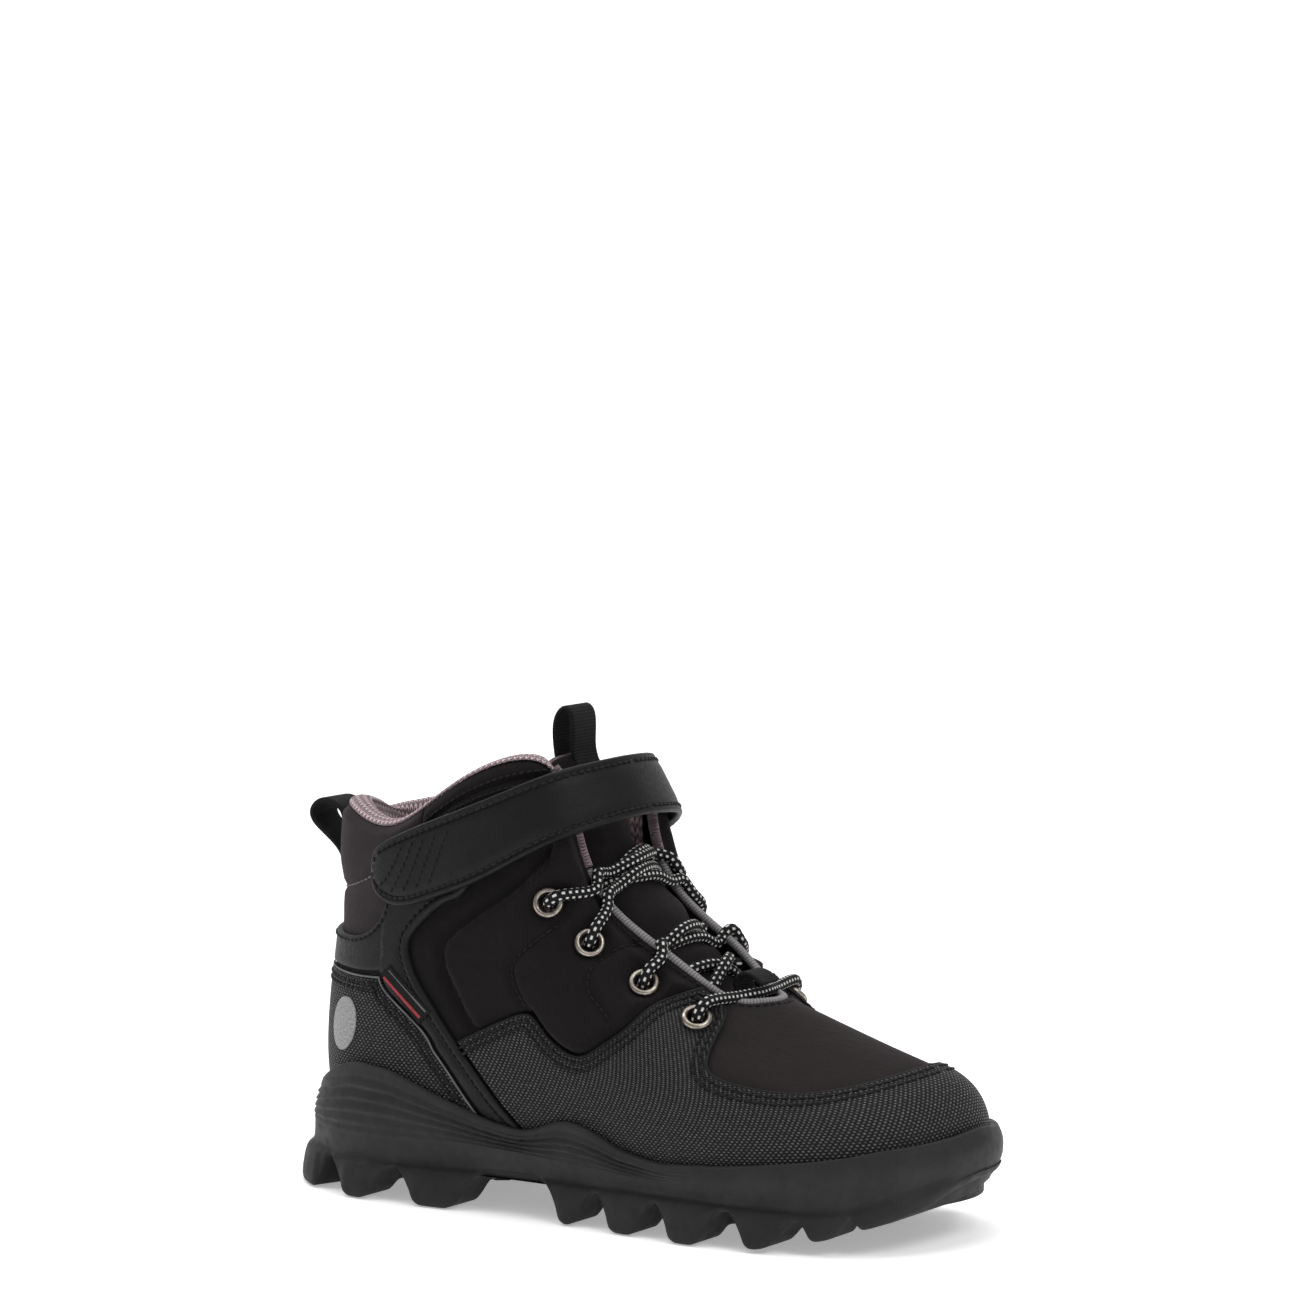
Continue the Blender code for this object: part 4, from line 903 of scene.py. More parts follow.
def ribbon(name, path, width, thick, mat, rib=0.10, pitch=0.85):
    """Ribbed webbing along a path in the XZ plane, width across Y."""
    fine = open_curve(path, 2400)
    run = lengths(fine)
    count = int(run[-1] / 0.17)
    at = np.linspace(0, run[-1], count)
    path = sample(at, run, fine)
    step = unit(np.gradient(path, axis=0))
    normal = np.stack([-step[:, 1], step[:, 0]], 1)
    half_w, half_t = width / 2, thick / 2
    round_ = 0.45
    ring = []
    for s in np.linspace(-1, 1, 13):
        ring.append((s * (half_w - round_), half_t, 1.0))
    for a in np.linspace(0, pi, 7)[1:-1]:
        ring.append((half_w - round_ + round_ * sin(a), half_t * cos(a), 0.0))
    for s in np.linspace(1, -1, 13):
        ring.append((s * (half_w - round_), -half_t, 1.0))
    for a in np.linspace(0, pi, 7)[1:-1]:
        ring.append((-half_w + round_ - round_ * sin(a), -half_t * cos(a), 0.0))
    ring = np.array(ring)
    wave = rib * (np.abs(np.sin(pi * at / pitch)) - 0.6)
    reach_out = ring[None, :, 1] + np.sign(ring[None, :, 1]) * wave[:, None] * ring[None, :, 2]
    x = path[:, None, 0] + normal[:, None, 0] * reach_out
    z = path[:, None, 1] + normal[:, None, 1] * reach_out
    yy = np.broadcast_to(ring[None, :, 0], x.shape)
    points = np.stack([x, yy, z], -1).reshape(-1, 3)
    uv = np.stack(np.broadcast_arrays(at[:, None], ring[None, :, 0]), -1).reshape(-1, 2)
    faces = grid_faces(count, len(ring), close_columns=True)
    faces += [tuple(range(len(ring)))[::-1], tuple((count - 1) * len(ring) + k for k in range(len(ring)))]
    return make(name, points, faces, mat, uv, 60)


# ---------------------------------------------------------------- sole
half = np.linspace(0, 10, 421)
sole_u = np.concatenate([half, (STATIONS - half[1:-1])[::-1]])
edge_xy = outline_at(sole_u)
edge_x = edge_xy[:, 0]
middle = (edge_xy + outline_at(STATIONS - sole_u)) / 2
spine_xy = np.stack([np.clip(middle[:, 0], -82, 74), middle[:, 1] * 0.6], 1)
gap_xy = spine_xy - edge_xy
gap_length = np.linalg.norm(gap_xy, axis=1)


def inset(amount):
    """The sole's outline moved in by the amount."""
    return edge_xy + gap_xy * np.minimum(amount / gap_length, 1.0)[:, None]


def lug_mask(x):
    """1 on a lug, 0 in the gap between two, with rounded shoulders."""
    mask = np.zeros_like(x)
    for a, b in LUGS:
        slope = 4.0 if a < -30 else 3.0 if a < 60 else 1.6
        mask = np.maximum(mask, smooth((x - a + slope) / (2 * slope)) * smooth((b + slope - x) / (2 * slope)))
    mask = np.maximum(mask, smooth((-86.3 - x) / 3.6))
    return np.maximum(mask, smooth((x - 79.6) / 1.6))


sole_run = lengths(edge_xy)
inward_xy = gap_xy / gap_length[:, None]


def rounded(values, spread):
    """The values averaged along the sole's edge, with the given spread in millimetres."""
    gap = np.abs(sole_run[:, None] - sole_run[None, :])
    gap = np.minimum(gap, sole_run[-1] + 0.7 - gap)
    weight = np.exp(-(gap / spread) ** 2)
    return (weight @ values) / weight.sum(1)


def spring_at(xy):
    """Height of the sole's underside, which lifts early on the big-toe side."""
    x, y = xy[:, 0], xy[:, 1]
    return along_x(TOE_SPRING, x + 0.3 * np.clip(y - 5, 0, 30) * smooth((x - 60) / 20))


depth = rounded(np.where(edge_x < 60, LUG_DEPTH + 2.2, 6.4) * (1 - lug_mask(edge_x)), 1.9)
depth = depth + 2.3 * smooth((edge_x + 37) / 9) * smooth((-10.5 - edge_x) / 9)
spring = spring_at(edge_xy)
rim_u = reach(sole_u)
rim_raw = along_x(RIM, np.clip(rim_u[:, None] + np.linspace(-0.16, 0.16, 9)[None, :], 0, 10))
rim_v = rim_raw @ bell(11)
rim_out = on_last(sole_u, rim_v, RIM_GAP + 1.7)
wall_inset = SOLE_TOP_INSET * (1 - 0.8 * smooth((reach(sole_u) - 7.2) / 1.6))
low_wall = np.column_stack([inset(wall_inset), along_x(RUBBER_OUTER, edge_x) + 0.1])
mid_wall = low_wall * 0.45 + rim_out * 0.55 + partials(sole_u, np.full(len(sole_u), 0.5))[2]
shoulder = np.column_stack([inset(wall_inset * 0.33),
                            np.maximum(spring + 2.6, along_x(RUBBER_OUTER, edge_x) - 2.4)])
foot = np.column_stack([inset(0.0), spring + 1.3])

knots = np.stack([rim_out, mid_wall, low_wall, shoulder, foot], 0)
bend = np.tensordot(open_bend_matrix(5), knots, axes=(1, 0))
wall_t = np.linspace(0, 4, 161)
k = np.minimum(wall_t.astype(int), 3)
b = (wall_t - k)[:, None, None]
wall_curve = bent(1 - b, b, knots[k], knots[k + 1], bend[k], bend[k + 1])


def wall_at(z_from, z_to, count):
    """Rows of wall points between two heights at each column."""
    rows = np.zeros((count, len(sole_u), 3))
    for c in range(len(sole_u)):
        column = wall_curve[::-1, c]
        rows[:, c, 2] = np.linspace(z_from[c], z_to[c], count)
        for axis in (0, 1):
            rows[:, c, axis] = np.interp(rows[:, c, 2], column[:, 2], column[:, axis])
    return rows


def ridge(rows):
    """Flowing terraces between the sole's top edge and a line above the lugs."""
    top = rim_out[:, 2]
    base = np.interp(edge_x, [-106, -40, 30, 60], [18.5, 18.8, 15.0, 14.0])
    f = (top - rows[..., 2]) / np.maximum(top - base, 3.0)
    step = f * 5.0 + 0.15
    saw = step - np.floor(step)
    tooth = np.where(saw < 0.72, saw / 0.72, (1 - saw) / 0.28)
    live = smooth((f - 0.12) / 0.1) * smooth((1.12 - f) / 0.08)
    live = live * (1 - smooth((reach(sole_u) - 5.0) / 1.6)) * smooth((reach(sole_u) - 0.15) / 0.7)
    push = 0.75 * live * (tooth - 0.45)
    rows[..., :2] -= inward_xy[None] * push[..., None]
    return rows


seam_z = low_wall[:, 2]
upper_wall = ridge(wall_at(rim_out[:, 2] - 0.02, seam_z, 64))
bottom_z = spring + depth
lower_wall = wall_at(seam_z, np.minimum(bottom_z + 0.02, seam_z - 0.6), 26)
at_toe = smooth((reach(sole_u) - 8.2) / 1.2)[None]


def tuck(rows):
    """How far the wall rounds under towards its foot."""
    near = np.clip(1 - (rows[..., 2] - bottom_z[None]) / (1.5 + 3.2 * at_toe), 0, 1)
    return (1.1 + 2.2 * at_toe) * (1 - dome(1 - near))


upper_wall[..., :2] += inward_xy[None] * (tuck(upper_wall) * at_toe)[..., None]
fall = np.clip((seam_z[None] - lower_wall[..., 2]) / 8.0, 0, 1)
scallop = 1.7 * rounded(smooth(depth / 7.0), 1.2)[None] * fall - 0.7 * fall * (1 - smooth(depth / 3.0))[None]
lower_wall[..., :2] += inward_xy[None] * (tuck(lower_wall) + scallop)[..., None]


def solid_rings(name, rings, mat, sharp=45):
    """Closed body through rings whose first and last lie on the middle line."""
    columns = len(rings[0])
    height = [0] + [np.linalg.norm(b - a, axis=1).mean() for a, b in zip(rings, rings[1:])]
    uv = np.stack(np.meshgrid(sole_run, np.cumsum(height)), -1).reshape(-1, 2)
    obj = make(name, np.vstack(rings), grid_faces(len(rings), columns, close_columns=True), mat, uv)
    outward(obj, weld=2e-6, flatten=1e-6)
    obj.data.polygons.foreach_set("use_smooth", [True] * len(obj.data.polygons))
    obj.data.set_sharp_from_angle(angle=sharp * pi / 180)
    return obj


def spine_ring(z):
    return np.column_stack([spine_xy, z])


last_middle = (last_face(sole_u, 0) + last_face(STATIONS - sole_u, 0)) / 2
last_spine_xy = np.stack([np.clip(last_middle[:, 0], -76, 70), last_middle[:, 1] * 0.6], 1)
feather = along_x(FEATHER, last_spine_xy[:, 0])

base_z = along_x(RUBBER_INNER, spine_xy[:, 0]) + 0.35
rim_lip = [on_last(sole_u, rim_v + up, out)
           for up, out in ((0.012, 3.35), (0.022, 2.9), (0.02, 2.2), (0.005, 1.7))]
rim_lip += [on_last(sole_u, np.maximum(rim_v - 0.12, 0.1), 1.7), on_last(sole_u, 0.05, 1.7)]
floor_edge = rim_lip[-1].copy()
floor_edge[:, 2] = last_face(sole_u, 0)[:, 2] - 0.4
midsole_rings = [spine_ring(base_z), np.column_stack([inset(SOLE_TOP_INSET + 2.5), base_z]),
                 np.column_stack([inset(SOLE_TOP_INSET + 2.2), seam_z + 0.02])]
midsole_rings += list(upper_wall[::-1]) + rim_lip
midsole_rings += [floor_edge, np.column_stack([last_spine_xy, feather - 0.4])]
own(solid_rings("midsole_body", midsole_rings, FOAM_MAT, 60), "boot", "midsole_foam", "midsole")


def arch(x):
    """1 under the arch of the foot, 0 under heel and ball."""
    return smooth((x + 46) / 12) * smooth((-2 - x) / 10)


def recess(xy):
    """Height of the sole's underside between the side lugs."""
    return spring_at(xy) + 3.5 + 3.9 * arch(xy[:, 0])


bottom_rings = []
for amount in (2.2, 4.0, 6.0, 8.0, 10.0, 11.6, 12.6, LUG_BAND, LUG_BAND + 1.0, LUG_BAND + 2.6):
    xy = inset(amount) if amount > 2.2 else lower_wall[-1, :, :2] + inward_xy * 1.2
    under = spring_at(xy)
    cap = 6.0 + 3.0 * arch(edge_x) if amount > 10 else 9.0
    lug_z = under + np.minimum(depth, cap)
    recess_z = recess(xy)
    share = smooth((amount - LUG_BAND + 0.4) / 2.4)
    bottom_rings.append(np.column_stack([xy, lug_z * (1 - share) + recess_z * share]))
top_xy = inset(SOLE_TOP_INSET + 1.9)
outsole_rings = [spine_ring(along_x(RUBBER_INNER, spine_xy[:, 0])),
                 np.column_stack([top_xy, along_x(RUBBER_INNER, top_xy[:, 0])]),
                 np.column_stack([inset(SOLE_TOP_INSET + 1.5), seam_z - 0.05])]
outsole_rings += list(lower_wall) + bottom_rings + [spine_ring(recess(spine_xy))]
own(solid_rings("outsole_rubber", outsole_rings, RUBBER, 50), "boot", "rubber", "outsole")

# tread blocks down the middle of the sole
BLOCK_SHAPE = ((-4, -1), (0, -3.6), (4, -1), (4, 3.2), (0, 5.2), (-4, 3.2))
block_points, block_faces = [], []
for x in (-78, -65.5, -53, 9.5, 22, 34.5, 47, 59.5, 72):
    middle_y = np.interp(x, spine_xy[:421, 0], spine_xy[:421, 1])
    ground = float(along_x(TOE_SPRING, x))
    for side in (-1, 1):
        cx, cy = x + 2.0 * side, middle_y + side * 7.2
        start = len(block_points)
        for z, size in ((ground + 4.2, 1.0), (ground + 1.5, 0.94), (ground + 0.9, 0.8)):
            block_points += [(cx + px * size, cy + side * (py - 1) * size, z) for px, py in BLOCK_SHAPE]
        for ring in (0, 6):
            for q in range(6):
                a0, b0 = start + ring + q, start + ring + (q + 1) % 6
                block_faces.append((a0, b0, b0 + 6, a0 + 6))
        block_faces += [tuple(start + 12 + q for q in range(6)), tuple(start + q for q in reversed(range(6)))]
blocks = make("tread_blocks", block_points, block_faces, RUBBER, np.array(block_points)[:, :2], 20)
outward(blocks)
own(blocks, "boot", "rubber")

# footbed: a dished, knit-covered insole
bed_edge = on_last(sole_u, 0.1, LINING[0] - 0.9)
bed_rings = []
for share, rise in ((0, 2.1), (1, 2.1), (1.0, 5.9), (0.985, 6.5), (0.95, 6.5), (0.88, 5.9), (0.75, 5.3),
                    (0.4, 5.1), (0, 5.1)):
    xy = last_spine_xy + (bed_edge[:, :2] - last_spine_xy) * share
    bed_rings.append(np.column_stack([xy, along_x(FEATHER, xy[:, 0]) + rise]))
bed = solid_rings("footbed_cushion", bed_rings, KNIT, 70)
corner = np.zeros(len(bed.data.loops), int)
bed.data.loops.foreach_get("vertex_index", corner)
co = np.array([v.co for v in bed.data.vertices])
bed.data.uv_layers[0].data.foreach_set("uv", (co[corner][:, :2] * 1000).astype(np.float32).ravel())
own(bed, "boot", "mauve_knit", "footbed", fill=0.9)

# ---------------------------------------------------------------- upper outlines
COUNTER_EDGE = [(2.27, 2.78), (2.45, 2.5), (2.95, 2.0), (3.12, 1.72), (3.3, 1.42), (3.58, 0.8), (3.8, 0.08)]
STAY_FRONT = [(3.5, 4.75), (3.3, 4.1), (3.1, 3.95), (2.9, 3.8), (2.7, 3.55), (2.63, 3.25), (2.8, 2.8),
              (3.05, 2.4), (3.4, 1.85), (3.7, 1.35), (4.05, 0.65), (4.3, 0.08)]
MUD_LATERAL = [(3.42, 1.88), (3.8, 2.2), (4.2, 2.48), (4.42, 2.5), (4.6, 2.32), (4.9, 2.16), (5.25, 2.25),
               (5.7, 2.75), (6.25, 3.45), (6.75, 4.4), (7.15, 5.15), (7.45, 5.62)]
MUD_FINGER = [(7.7, 5.5), (7.7, 5.1), (7.4, 4.1), (7.14, 3.3), (7.12, 2.85), (7.45, 2.66), (7.95, 2.6),
              (8.85, 2.68), (10, 2.72)]
CONTOUR = [(4.55, 4.9), (4.3, 4.55), (3.90, 4.10), (3.45, 3.65), (3.20, 3.35), (3.15, 3.20), (3.20, 2.95),
           (3.35, 2.65), (3.50, 2.35), (3.65, 2.10)]
ROW_ONE = [(5.0, 4.25), (4.80, 4.05), (4.30, 3.50), (4.10, 3.10), (4.25, 2.75), (4.40, 2.60)]
ROW_TWO = [(6.55, 5.70), (6.30, 5.15), (6.00, 4.55), (5.75, 4.05), (5.70, 3.70), (5.85, 3.55), (6.00, 3.40)]
CONTOUR_FOOT = [(3.14, 3.0), (3.28, 2.68), (3.43, 2.38), (3.57, 2.12)]
BAND_LINE = [(2.6, 5.5), (2.95, 5.58), (3.5, 5.64), (3.9, 5.72), (4.2, 5.86)]
HEEL_STITCH = [(-2.0, 4.85), (-1.1, 4.25), (0, 4.12), (1.1, 4.25), (2.0, 4.85)]

mud_edge = [(p[0] + 0.04, p[1]) for p in reversed(arc(STAY_FRONT[8:], 5))]
mud_line = arc(MUD_LATERAL, 6) + arc(MUD_FINGER, 6)
mud_half = mud_edge[:-1] + mud_line
mud_outline = mud_half + list(reversed(mirrored(mud_half[:-1])))
stay_back = arc([(2.16, 4.7), (2.17, 4.4), (2.15, 3.95), (2.17, 3.5)], 4) + [(2.25, 2.92)]
stay_back += [(p[0] + 0.05, p[1] + 0.03) for p in arc(COUNTER_EDGE, 5)][1:-1] + [(3.85, 0.08)]
stay_outline = stay_back + list(reversed(arc(STAY_FRONT, 5)))
counter_top = arc([(-2.27, 2.78), (-1.6, 2.82), (0, 2.86), (1.6, 2.82), (2.27, 2.78)], 8)
counter_outline = ([(-p[0], p[1]) for p in reversed(arc(COUNTER_EDGE, 5))] + counter_top[1:-1]
                   + arc(COUNTER_EDGE, 5))
band_top = arc([(-2.15, 4.35), (-2.13, 3.98), (-2.03, 3.72), (-1.78, 3.53), (-1.3, 3.45), (-0.7, 3.47),
                (0.0, 3.5), (0.7, 3.47), (1.3, 3.45), (1.78, 3.53), (2.03, 3.72), (2.13, 3.98),
                (2.15, 4.35)], 5)
band_outline = [(2.30, 3.6), (2.34, 2.9), (1.6, 2.92), (0, 2.94), (-1.6, 2.92), (-2.34, 2.9),
                (-2.30, 3.6)] + band_top


def seat(u, v):
    centre = last_face(u, v)
    return centre, partials(np.array([u]), np.array([v]))[2][0], (u, v)


SEATS = [seat(u, v) for u, v in EYELETS] + [seat(STATIONS - u, v) for u, v in EYELETS]
LIFTS = [0.6, 0.6, 0.6, 2.2] * 2
seat_tree = tree_of([s[0] for s in SEATS])


def side_lines(points):
    """Search tree of a line and its mirror image."""
    fine = refine(points, 0.4)
    both = np.vstack([fine, np.array(mirrored(fine))])
    return tree_of(face_of(both))


contour_tree = side_lines(arc(CONTOUR, 4))
cover_tree = side_lines(mud_line)
stay_tree = side_lines(arc(STAY_FRONT, 4))
mud_polygon = np.array(mud_outline)
stay_polygon = np.array(stay_outline)
contour_fine = np.array(arc(CONTOUR, 4))


def quarter_relief(u, v):
    """Padding of the quarters: a raised field in front of the contour, and a soft collar band."""
    side_u = reach(u)
    base = last_face(u, v)
    border = np.interp(-v, -contour_fine[:, 1], contour_fine[:, 0])
    gap = distance_to(contour_tree, base) * np.where(side_u > border, 1.0, -1.0)
    field = 2.7 * smooth(gap / 2.6 + 0.42) - 0.8 * np.exp(-((gap + 1.6) / 1.1) ** 2)
    field = field + 0.5 * smooth((-gap - 2.4) / 2.0)
    field = field * (1 - smooth((v - 5.25) / 0.5))
    away = distance_to(seat_tree, base)
    field = field * smooth((away - 3.2) / 5.0) + 0.1
    band = 1.1 * smooth((v - 5.0) / 0.25) * (1 - smooth((v - 5.82) / 0.18))
    band = band * (1 - smooth((side_u - 4.0) / 0.35))
    field = field + band
    flat = np.stack([side_u, v], 1)
    covered = inside(flat, mud_polygon) | inside(flat, stay_polygon)
    shelter = np.minimum(distance_to(cover_tree, base), distance_to(stay_tree, base))
    return np.where(covered, 0.0, field * smooth((shelter - 0.2) / 2.6))


def heel_relief(u, v):
    """Soft collar pad above the heel seam."""
    pad = 1.3 * smooth((v - 4.1) / 0.7) * (1 - smooth((v - 5.7) / 0.3))
    return pad * (1 - 0.6 * smooth((reach(u) - 2.2) / 0.3)) + 0.35 * smooth((v - 3.5) / 0.4)


# ---------------------------------------------------------------- upper panels
finger_seam = [(6.7, 0.06), (6.7, 2.7), (6.95, 3.3), (7.28, 3.95), (7.45, 4.6), (7.57, 5.2), (7.64, 5.96)]
quarter_box = [(2.5, 0.06)] + finger_seam + [(2.5, 5.96)]
quarter_rows = [(arc(ROW_ONE, 5), 1.0, 1.3), (arc(ROW_TWO, 5), 0.95, 1.2), (arc(BAND_LINE, 5), 0.7, 0.7)]
for side, place, seats in (("lateral", list, SEATS[:4]), ("medial", mirrored, SEATS[4:])):
    rows = [(place(line), deep, wide) for line, deep, wide in quarter_rows]
    quarter = panel("quarter_%s_padded" % side, place(quarter_box), -LEATHER, 0.0, NUBUCK_SHADED, 10,
                    quarter_relief, rows, [(s, EYELET_CUT) for s in seats], 1.3)
    own(quarter, "boot", "nubuck", "quarter_" + side, fill=0.7)
heel = panel("heel_panel_padded", [(-2.5, 0.06), (2.5, 0.06), (2.5, 5.96), (-2.5, 5.96)], -LEATHER, 0.0,
             NUBUCK_LIT, 0, heel_relief, [(arc(HEEL_STITCH, 6), 0.8, 1.1)], step=1.4)
own(heel, "boot", "nubuck", "heel_panel", fill=0.7)
vamp_half = [(u + 0.02, v) for u, v in finger_seam]
vamp = panel("vamp_skin", vamp_half[::-1] + mirrored(vamp_half), -LEATHER, 0.0, NUBUCK, 10, step=1.6)
own(vamp, "boot", "nubuck", "vamp")

mud_fine = refine(mud_line, 0.6)
mud_rows = [offset(mud_fine, -1.5), offset(mud_fine, -3.4)]
mud_rows = [row[row[:, 0] < 9.98] for row in mud_rows]
mud_grooves = [(place(row), 0.30, 0.45) for place in (list, mirrored) for row in mud_rows]
mudguard = panel("mudguard_overlay", mud_outline, OVERLAY[0] - 0.25, OVERLAY[1], WEAVE, 10, None, mud_grooves,
                 [(SEATS[3], EYELET_CUT), (SEATS[7], EYELET_CUT)], 1.8)
own(mudguard, "boot", "coated_mesh", "mudguard")
for row in mud_rows:
    for line in (row, mirrored(row)):
        stitch_line("mudguard_stitching", line, OVERLAY[1] - 0.18, **HEAVY)
sew("mudguard_stitching", THREAD, "boot", "smooth_leather")
cut = np.vstack([mud_fine, np.array(mirrored(mud_fine[:-1]))[::-1]])
own(tube("mudguard_cut_edge", on_last(*cut.T, OVERLAY[1] - 0.5), 0.42, THREAD, 8), "boot", "coated_mesh")

counter_edge_fine = refine(arc(COUNTER_EDGE, 5), 0.6)
counter_rows = [offset(counter_edge_fine, -1.4), offset(counter_edge_fine, -3.0)]
counter_rows += [np.array([(-p[0], p[1]) for p in row]) for row in counter_rows]
counter_top_fine = refine(counter_top, 0.6)
counter_rows += [offset(counter_top_fine, -1.5), offset(counter_top_fine, -3.2)]
counter = panel("heel_counter_overlay", counter_outline, OVERLAY[0] - 0.25, OVERLAY[1], WEAVE, 0, None,
                [(row, 0.28, 0.45) for row in counter_rows], step=1.8)
own(counter, "boot", "coated_mesh", "heel_counter")
for row in counter_rows:
    stitch_line("counter_stitching", row, OVERLAY[1] - 0.18, **HEAVY)
sew("counter_stitching", THREAD, "boot", "smooth_leather")
rim = refine(arc(COUNTER_EDGE, 5), 0.5)[::-1]
rim = np.vstack([rim[:-1], [(2.27, 2.79)], counter_top_fine[::-1][1:-1], [(-2.27, 2.79)],
                 [(-p[0], p[1]) for p in rim[::-1][1:]]])
edging = tube("counter_edge_line", on_last(rim[:, 0], rim[:, 1] + 0.02, OVERLAY[1] - 0.25), 0.27,
              THREAD_GREY, 8)
own(edging, "boot", "coated_mesh")

band = panel("heel_band_overlay", band_outline, OVERLAY[0] - 0.25, OVERLAY[1] - 0.12, LEATHER_STAY, step=1.8)
own(band, "boot", "smooth_leather", "heel_band")
stitch_line("band_stitching", offset(refine(band_top, 0.6), -1.3), OVERLAY[1] - 0.1)


def stay_relief(u, v):
    return 0.55 * np.exp(-((distance_to(stay_tree, last_face(u, v)) - 1.0) / 0.9) ** 2)


stay_row = offset(refine(arc(STAY_FRONT, 5), 0.6), -2.6)
for side, place in (("lateral", list), ("medial", mirrored)):
    row = place(stay_row)
    stay = panel("stay_%s_overlay" % side, place(stay_outline), OVERLAY[0] - 0.2, OVERLAY[1], LEATHER_STAY,
                 10, stay_relief, [(row, 0.3, 0.5)], step=1.6)
    own(stay, "boot", "smooth_leather", "stay_" + side)
    stitch_line("band_stitching", row, OVERLAY[1] - 0.15)
sew("band_stitching", THREAD, "boot", "smooth_leather")
band_rows = [[(u, v + up) for u, v in BAND_LINE] for up in (-0.1, 0.09)]
for row, sunk in ((ROW_ONE, 0.85), (ROW_TWO, 0.8), (CONTOUR_FOOT, 0.0), (band_rows[0], 0.1),
                  (band_rows[1], 0.1)):
    for line in (arc(row, 5), mirrored(arc(row, 5))):
        stitch_line("quilt_stitching", np.array(line), lambda u, v: quarter_relief(u, v) - sunk, radius=0.33)
throat_row = [(u, 5.78) for u in np.linspace(5.75, 14.25, 120)]
stitch_line("quilt_stitching", throat_row, 0.08, radius=0.26)
sew("quilt_stitching", THREAD, "boot", "nubuck")
stitch_line("heel_stitching", arc(HEEL_STITCH, 6), lambda u, v: heel_relief(u, v) - 0.72, radius=0.24)
sew("heel_stitching", THREAD_LIGHT, "boot", "nubuck")

# ---------------------------------------------------------------- stiffeners, foam and lining
puff_outline = [(8.25, 0.1), (11.75, 0.1), (11.75, 2.5), (11, 3), (9, 3), (8.25, 2.5)]
puff = panel("toe_puff_sheet", puff_outline, *STIFFENER, FOAM, 10, step=3.0)
own(puff, "boot", "stiffener", "toe_puff")
heel_outline = [(-2.9, 0.1), (2.9, 0.1), (2.7, 2), (2, 3.2), (0, 3.6), (-2, 3.2), (-2.7, 2)]
stiffener = panel("heel_stiffener_sheet", heel_outline, *STIFFENER, FOAM, step=3.0)
own(stiffener, "boot", "stiffener", "heel_stiffener")


def pad_depth(u, v):
    rows = np.interp(v, [3, 3.5, 4, 4.5, 5, 5.5, 6], [0, 0.4, 1.5, 3.4, 4.5, 3.9, 2.2])
    return rows * (1 - smooth((reach(u) - 3.75) / 0.6))


foam = panel("collar_foam", [(-3.7, 4.15), (3.7, 4.15), (3.7, 5.6), (-3.7, 5.6)],
             lambda u, v: -2.9 - pad_depth(u, v) * 0.9, -1.9, FOAM, step=3.0)
own(foam, "boot", "foam", "collar_padding", fill=0.8)

ROLL_RISE = ([-4.4, -3.6, -3.0, -2.5, -2.0, -1.3, -0.85, -0.5, -0.15, 0.7, 1.3, 2.0, 2.5, 3.0, 3.6, 4.4],
             [0.5, 1.2, 1.3, 1.8, 2.4, 4.2, 2.5, 0.2, 1.6, 1.8, 1.6, 1.7, 1.6, 1.3, 1.2, 0.5])
line_u = np.linspace(-4.35, 4.35, 521)
rise = np.interp(line_u, *ROLL_RISE)
rise = np.convolve(np.pad(rise, 8, mode="edge"), bell(19), mode="valid")
top_line = last_face(line_u, 6.0)
up_dir = unit(top_line - last_face(line_u, 5.6))
normal6 = partials(line_u, np.full(len(line_u), 5.95))[2]
wide = 3.1 + pad_depth(line_u, 5.5) * 0.8
rings = [on_last(line_u, v_in, LINING[0] - pad_depth(line_u, v_in))
         for v_in in np.concatenate([np.linspace(0.06, 4.2, 30), np.linspace(4.3, 5.55, 12)])]
for angle in np.linspace(-0.25, pi + 0.15, 22):
    across = -wide / 2 - wide / 2 * cos(angle)
    lift = rise * np.maximum(sin(angle), -0.4) + 0.3 * cos(angle)
    rings.append(top_line + normal6 * (across + 0.1)[:, None] + up_dir * lift[:, None])
skin = np.array(rings)
cross_dir = unit(np.cross(np.gradient(skin, axis=1), np.gradient(skin, axis=0)))
probe = cross_dir[2, 260] @ partials(np.array([0.0]), np.array([0.3]))[2][0]
under = skin + cross_dir * (0.8 if probe > 0 else -0.8)
loop = np.concatenate([skin, under[::-1]])
run_u = lookup(LENGTH_U, line_u, np.full(len(line_u), 4.5))
run_v = lengths(loop[:, 260])
uv = np.stack(np.meshgrid(run_u, run_v), -1).reshape(-1, 2)
count = len(line_u)
faces = grid_faces(len(loop), count, close_rows=True)
faces += [tuple(r * count for r in range(len(loop))),
          tuple(r * count + count - 1 for r in reversed(range(len(loop))))]
collar = make("collar_lining", loop.reshape(-1, 3), faces, KNIT, uv)
outward(collar)
own(collar, "boot", "mauve_knit", "lining_lateral", "lining_medial", fill=0.8)

front_lining = [(4.3, 0.06), (15.7, 0.06), (15.7, 3.8), (12.4, 3.6), (11.8, 5.1), (8.2, 5.1), (7.6, 3.6),
                (4.3, 3.8)]
front = panel("forefoot_lining", front_lining, *LINING, KNIT, 10, step=2.2)
own(front, "boot", "mauve_knit", "lining_lateral", "lining_medial")


def edge_line(start, end, n, drop=0.7, beyond=0.45):
    u = np.linspace(start, end, n)
    top = last_face(u, 6.0)
    return top + unit(top - last_face(u, 5.6)) * beyond - partials(u, np.full(n, 5.95))[2] * drop


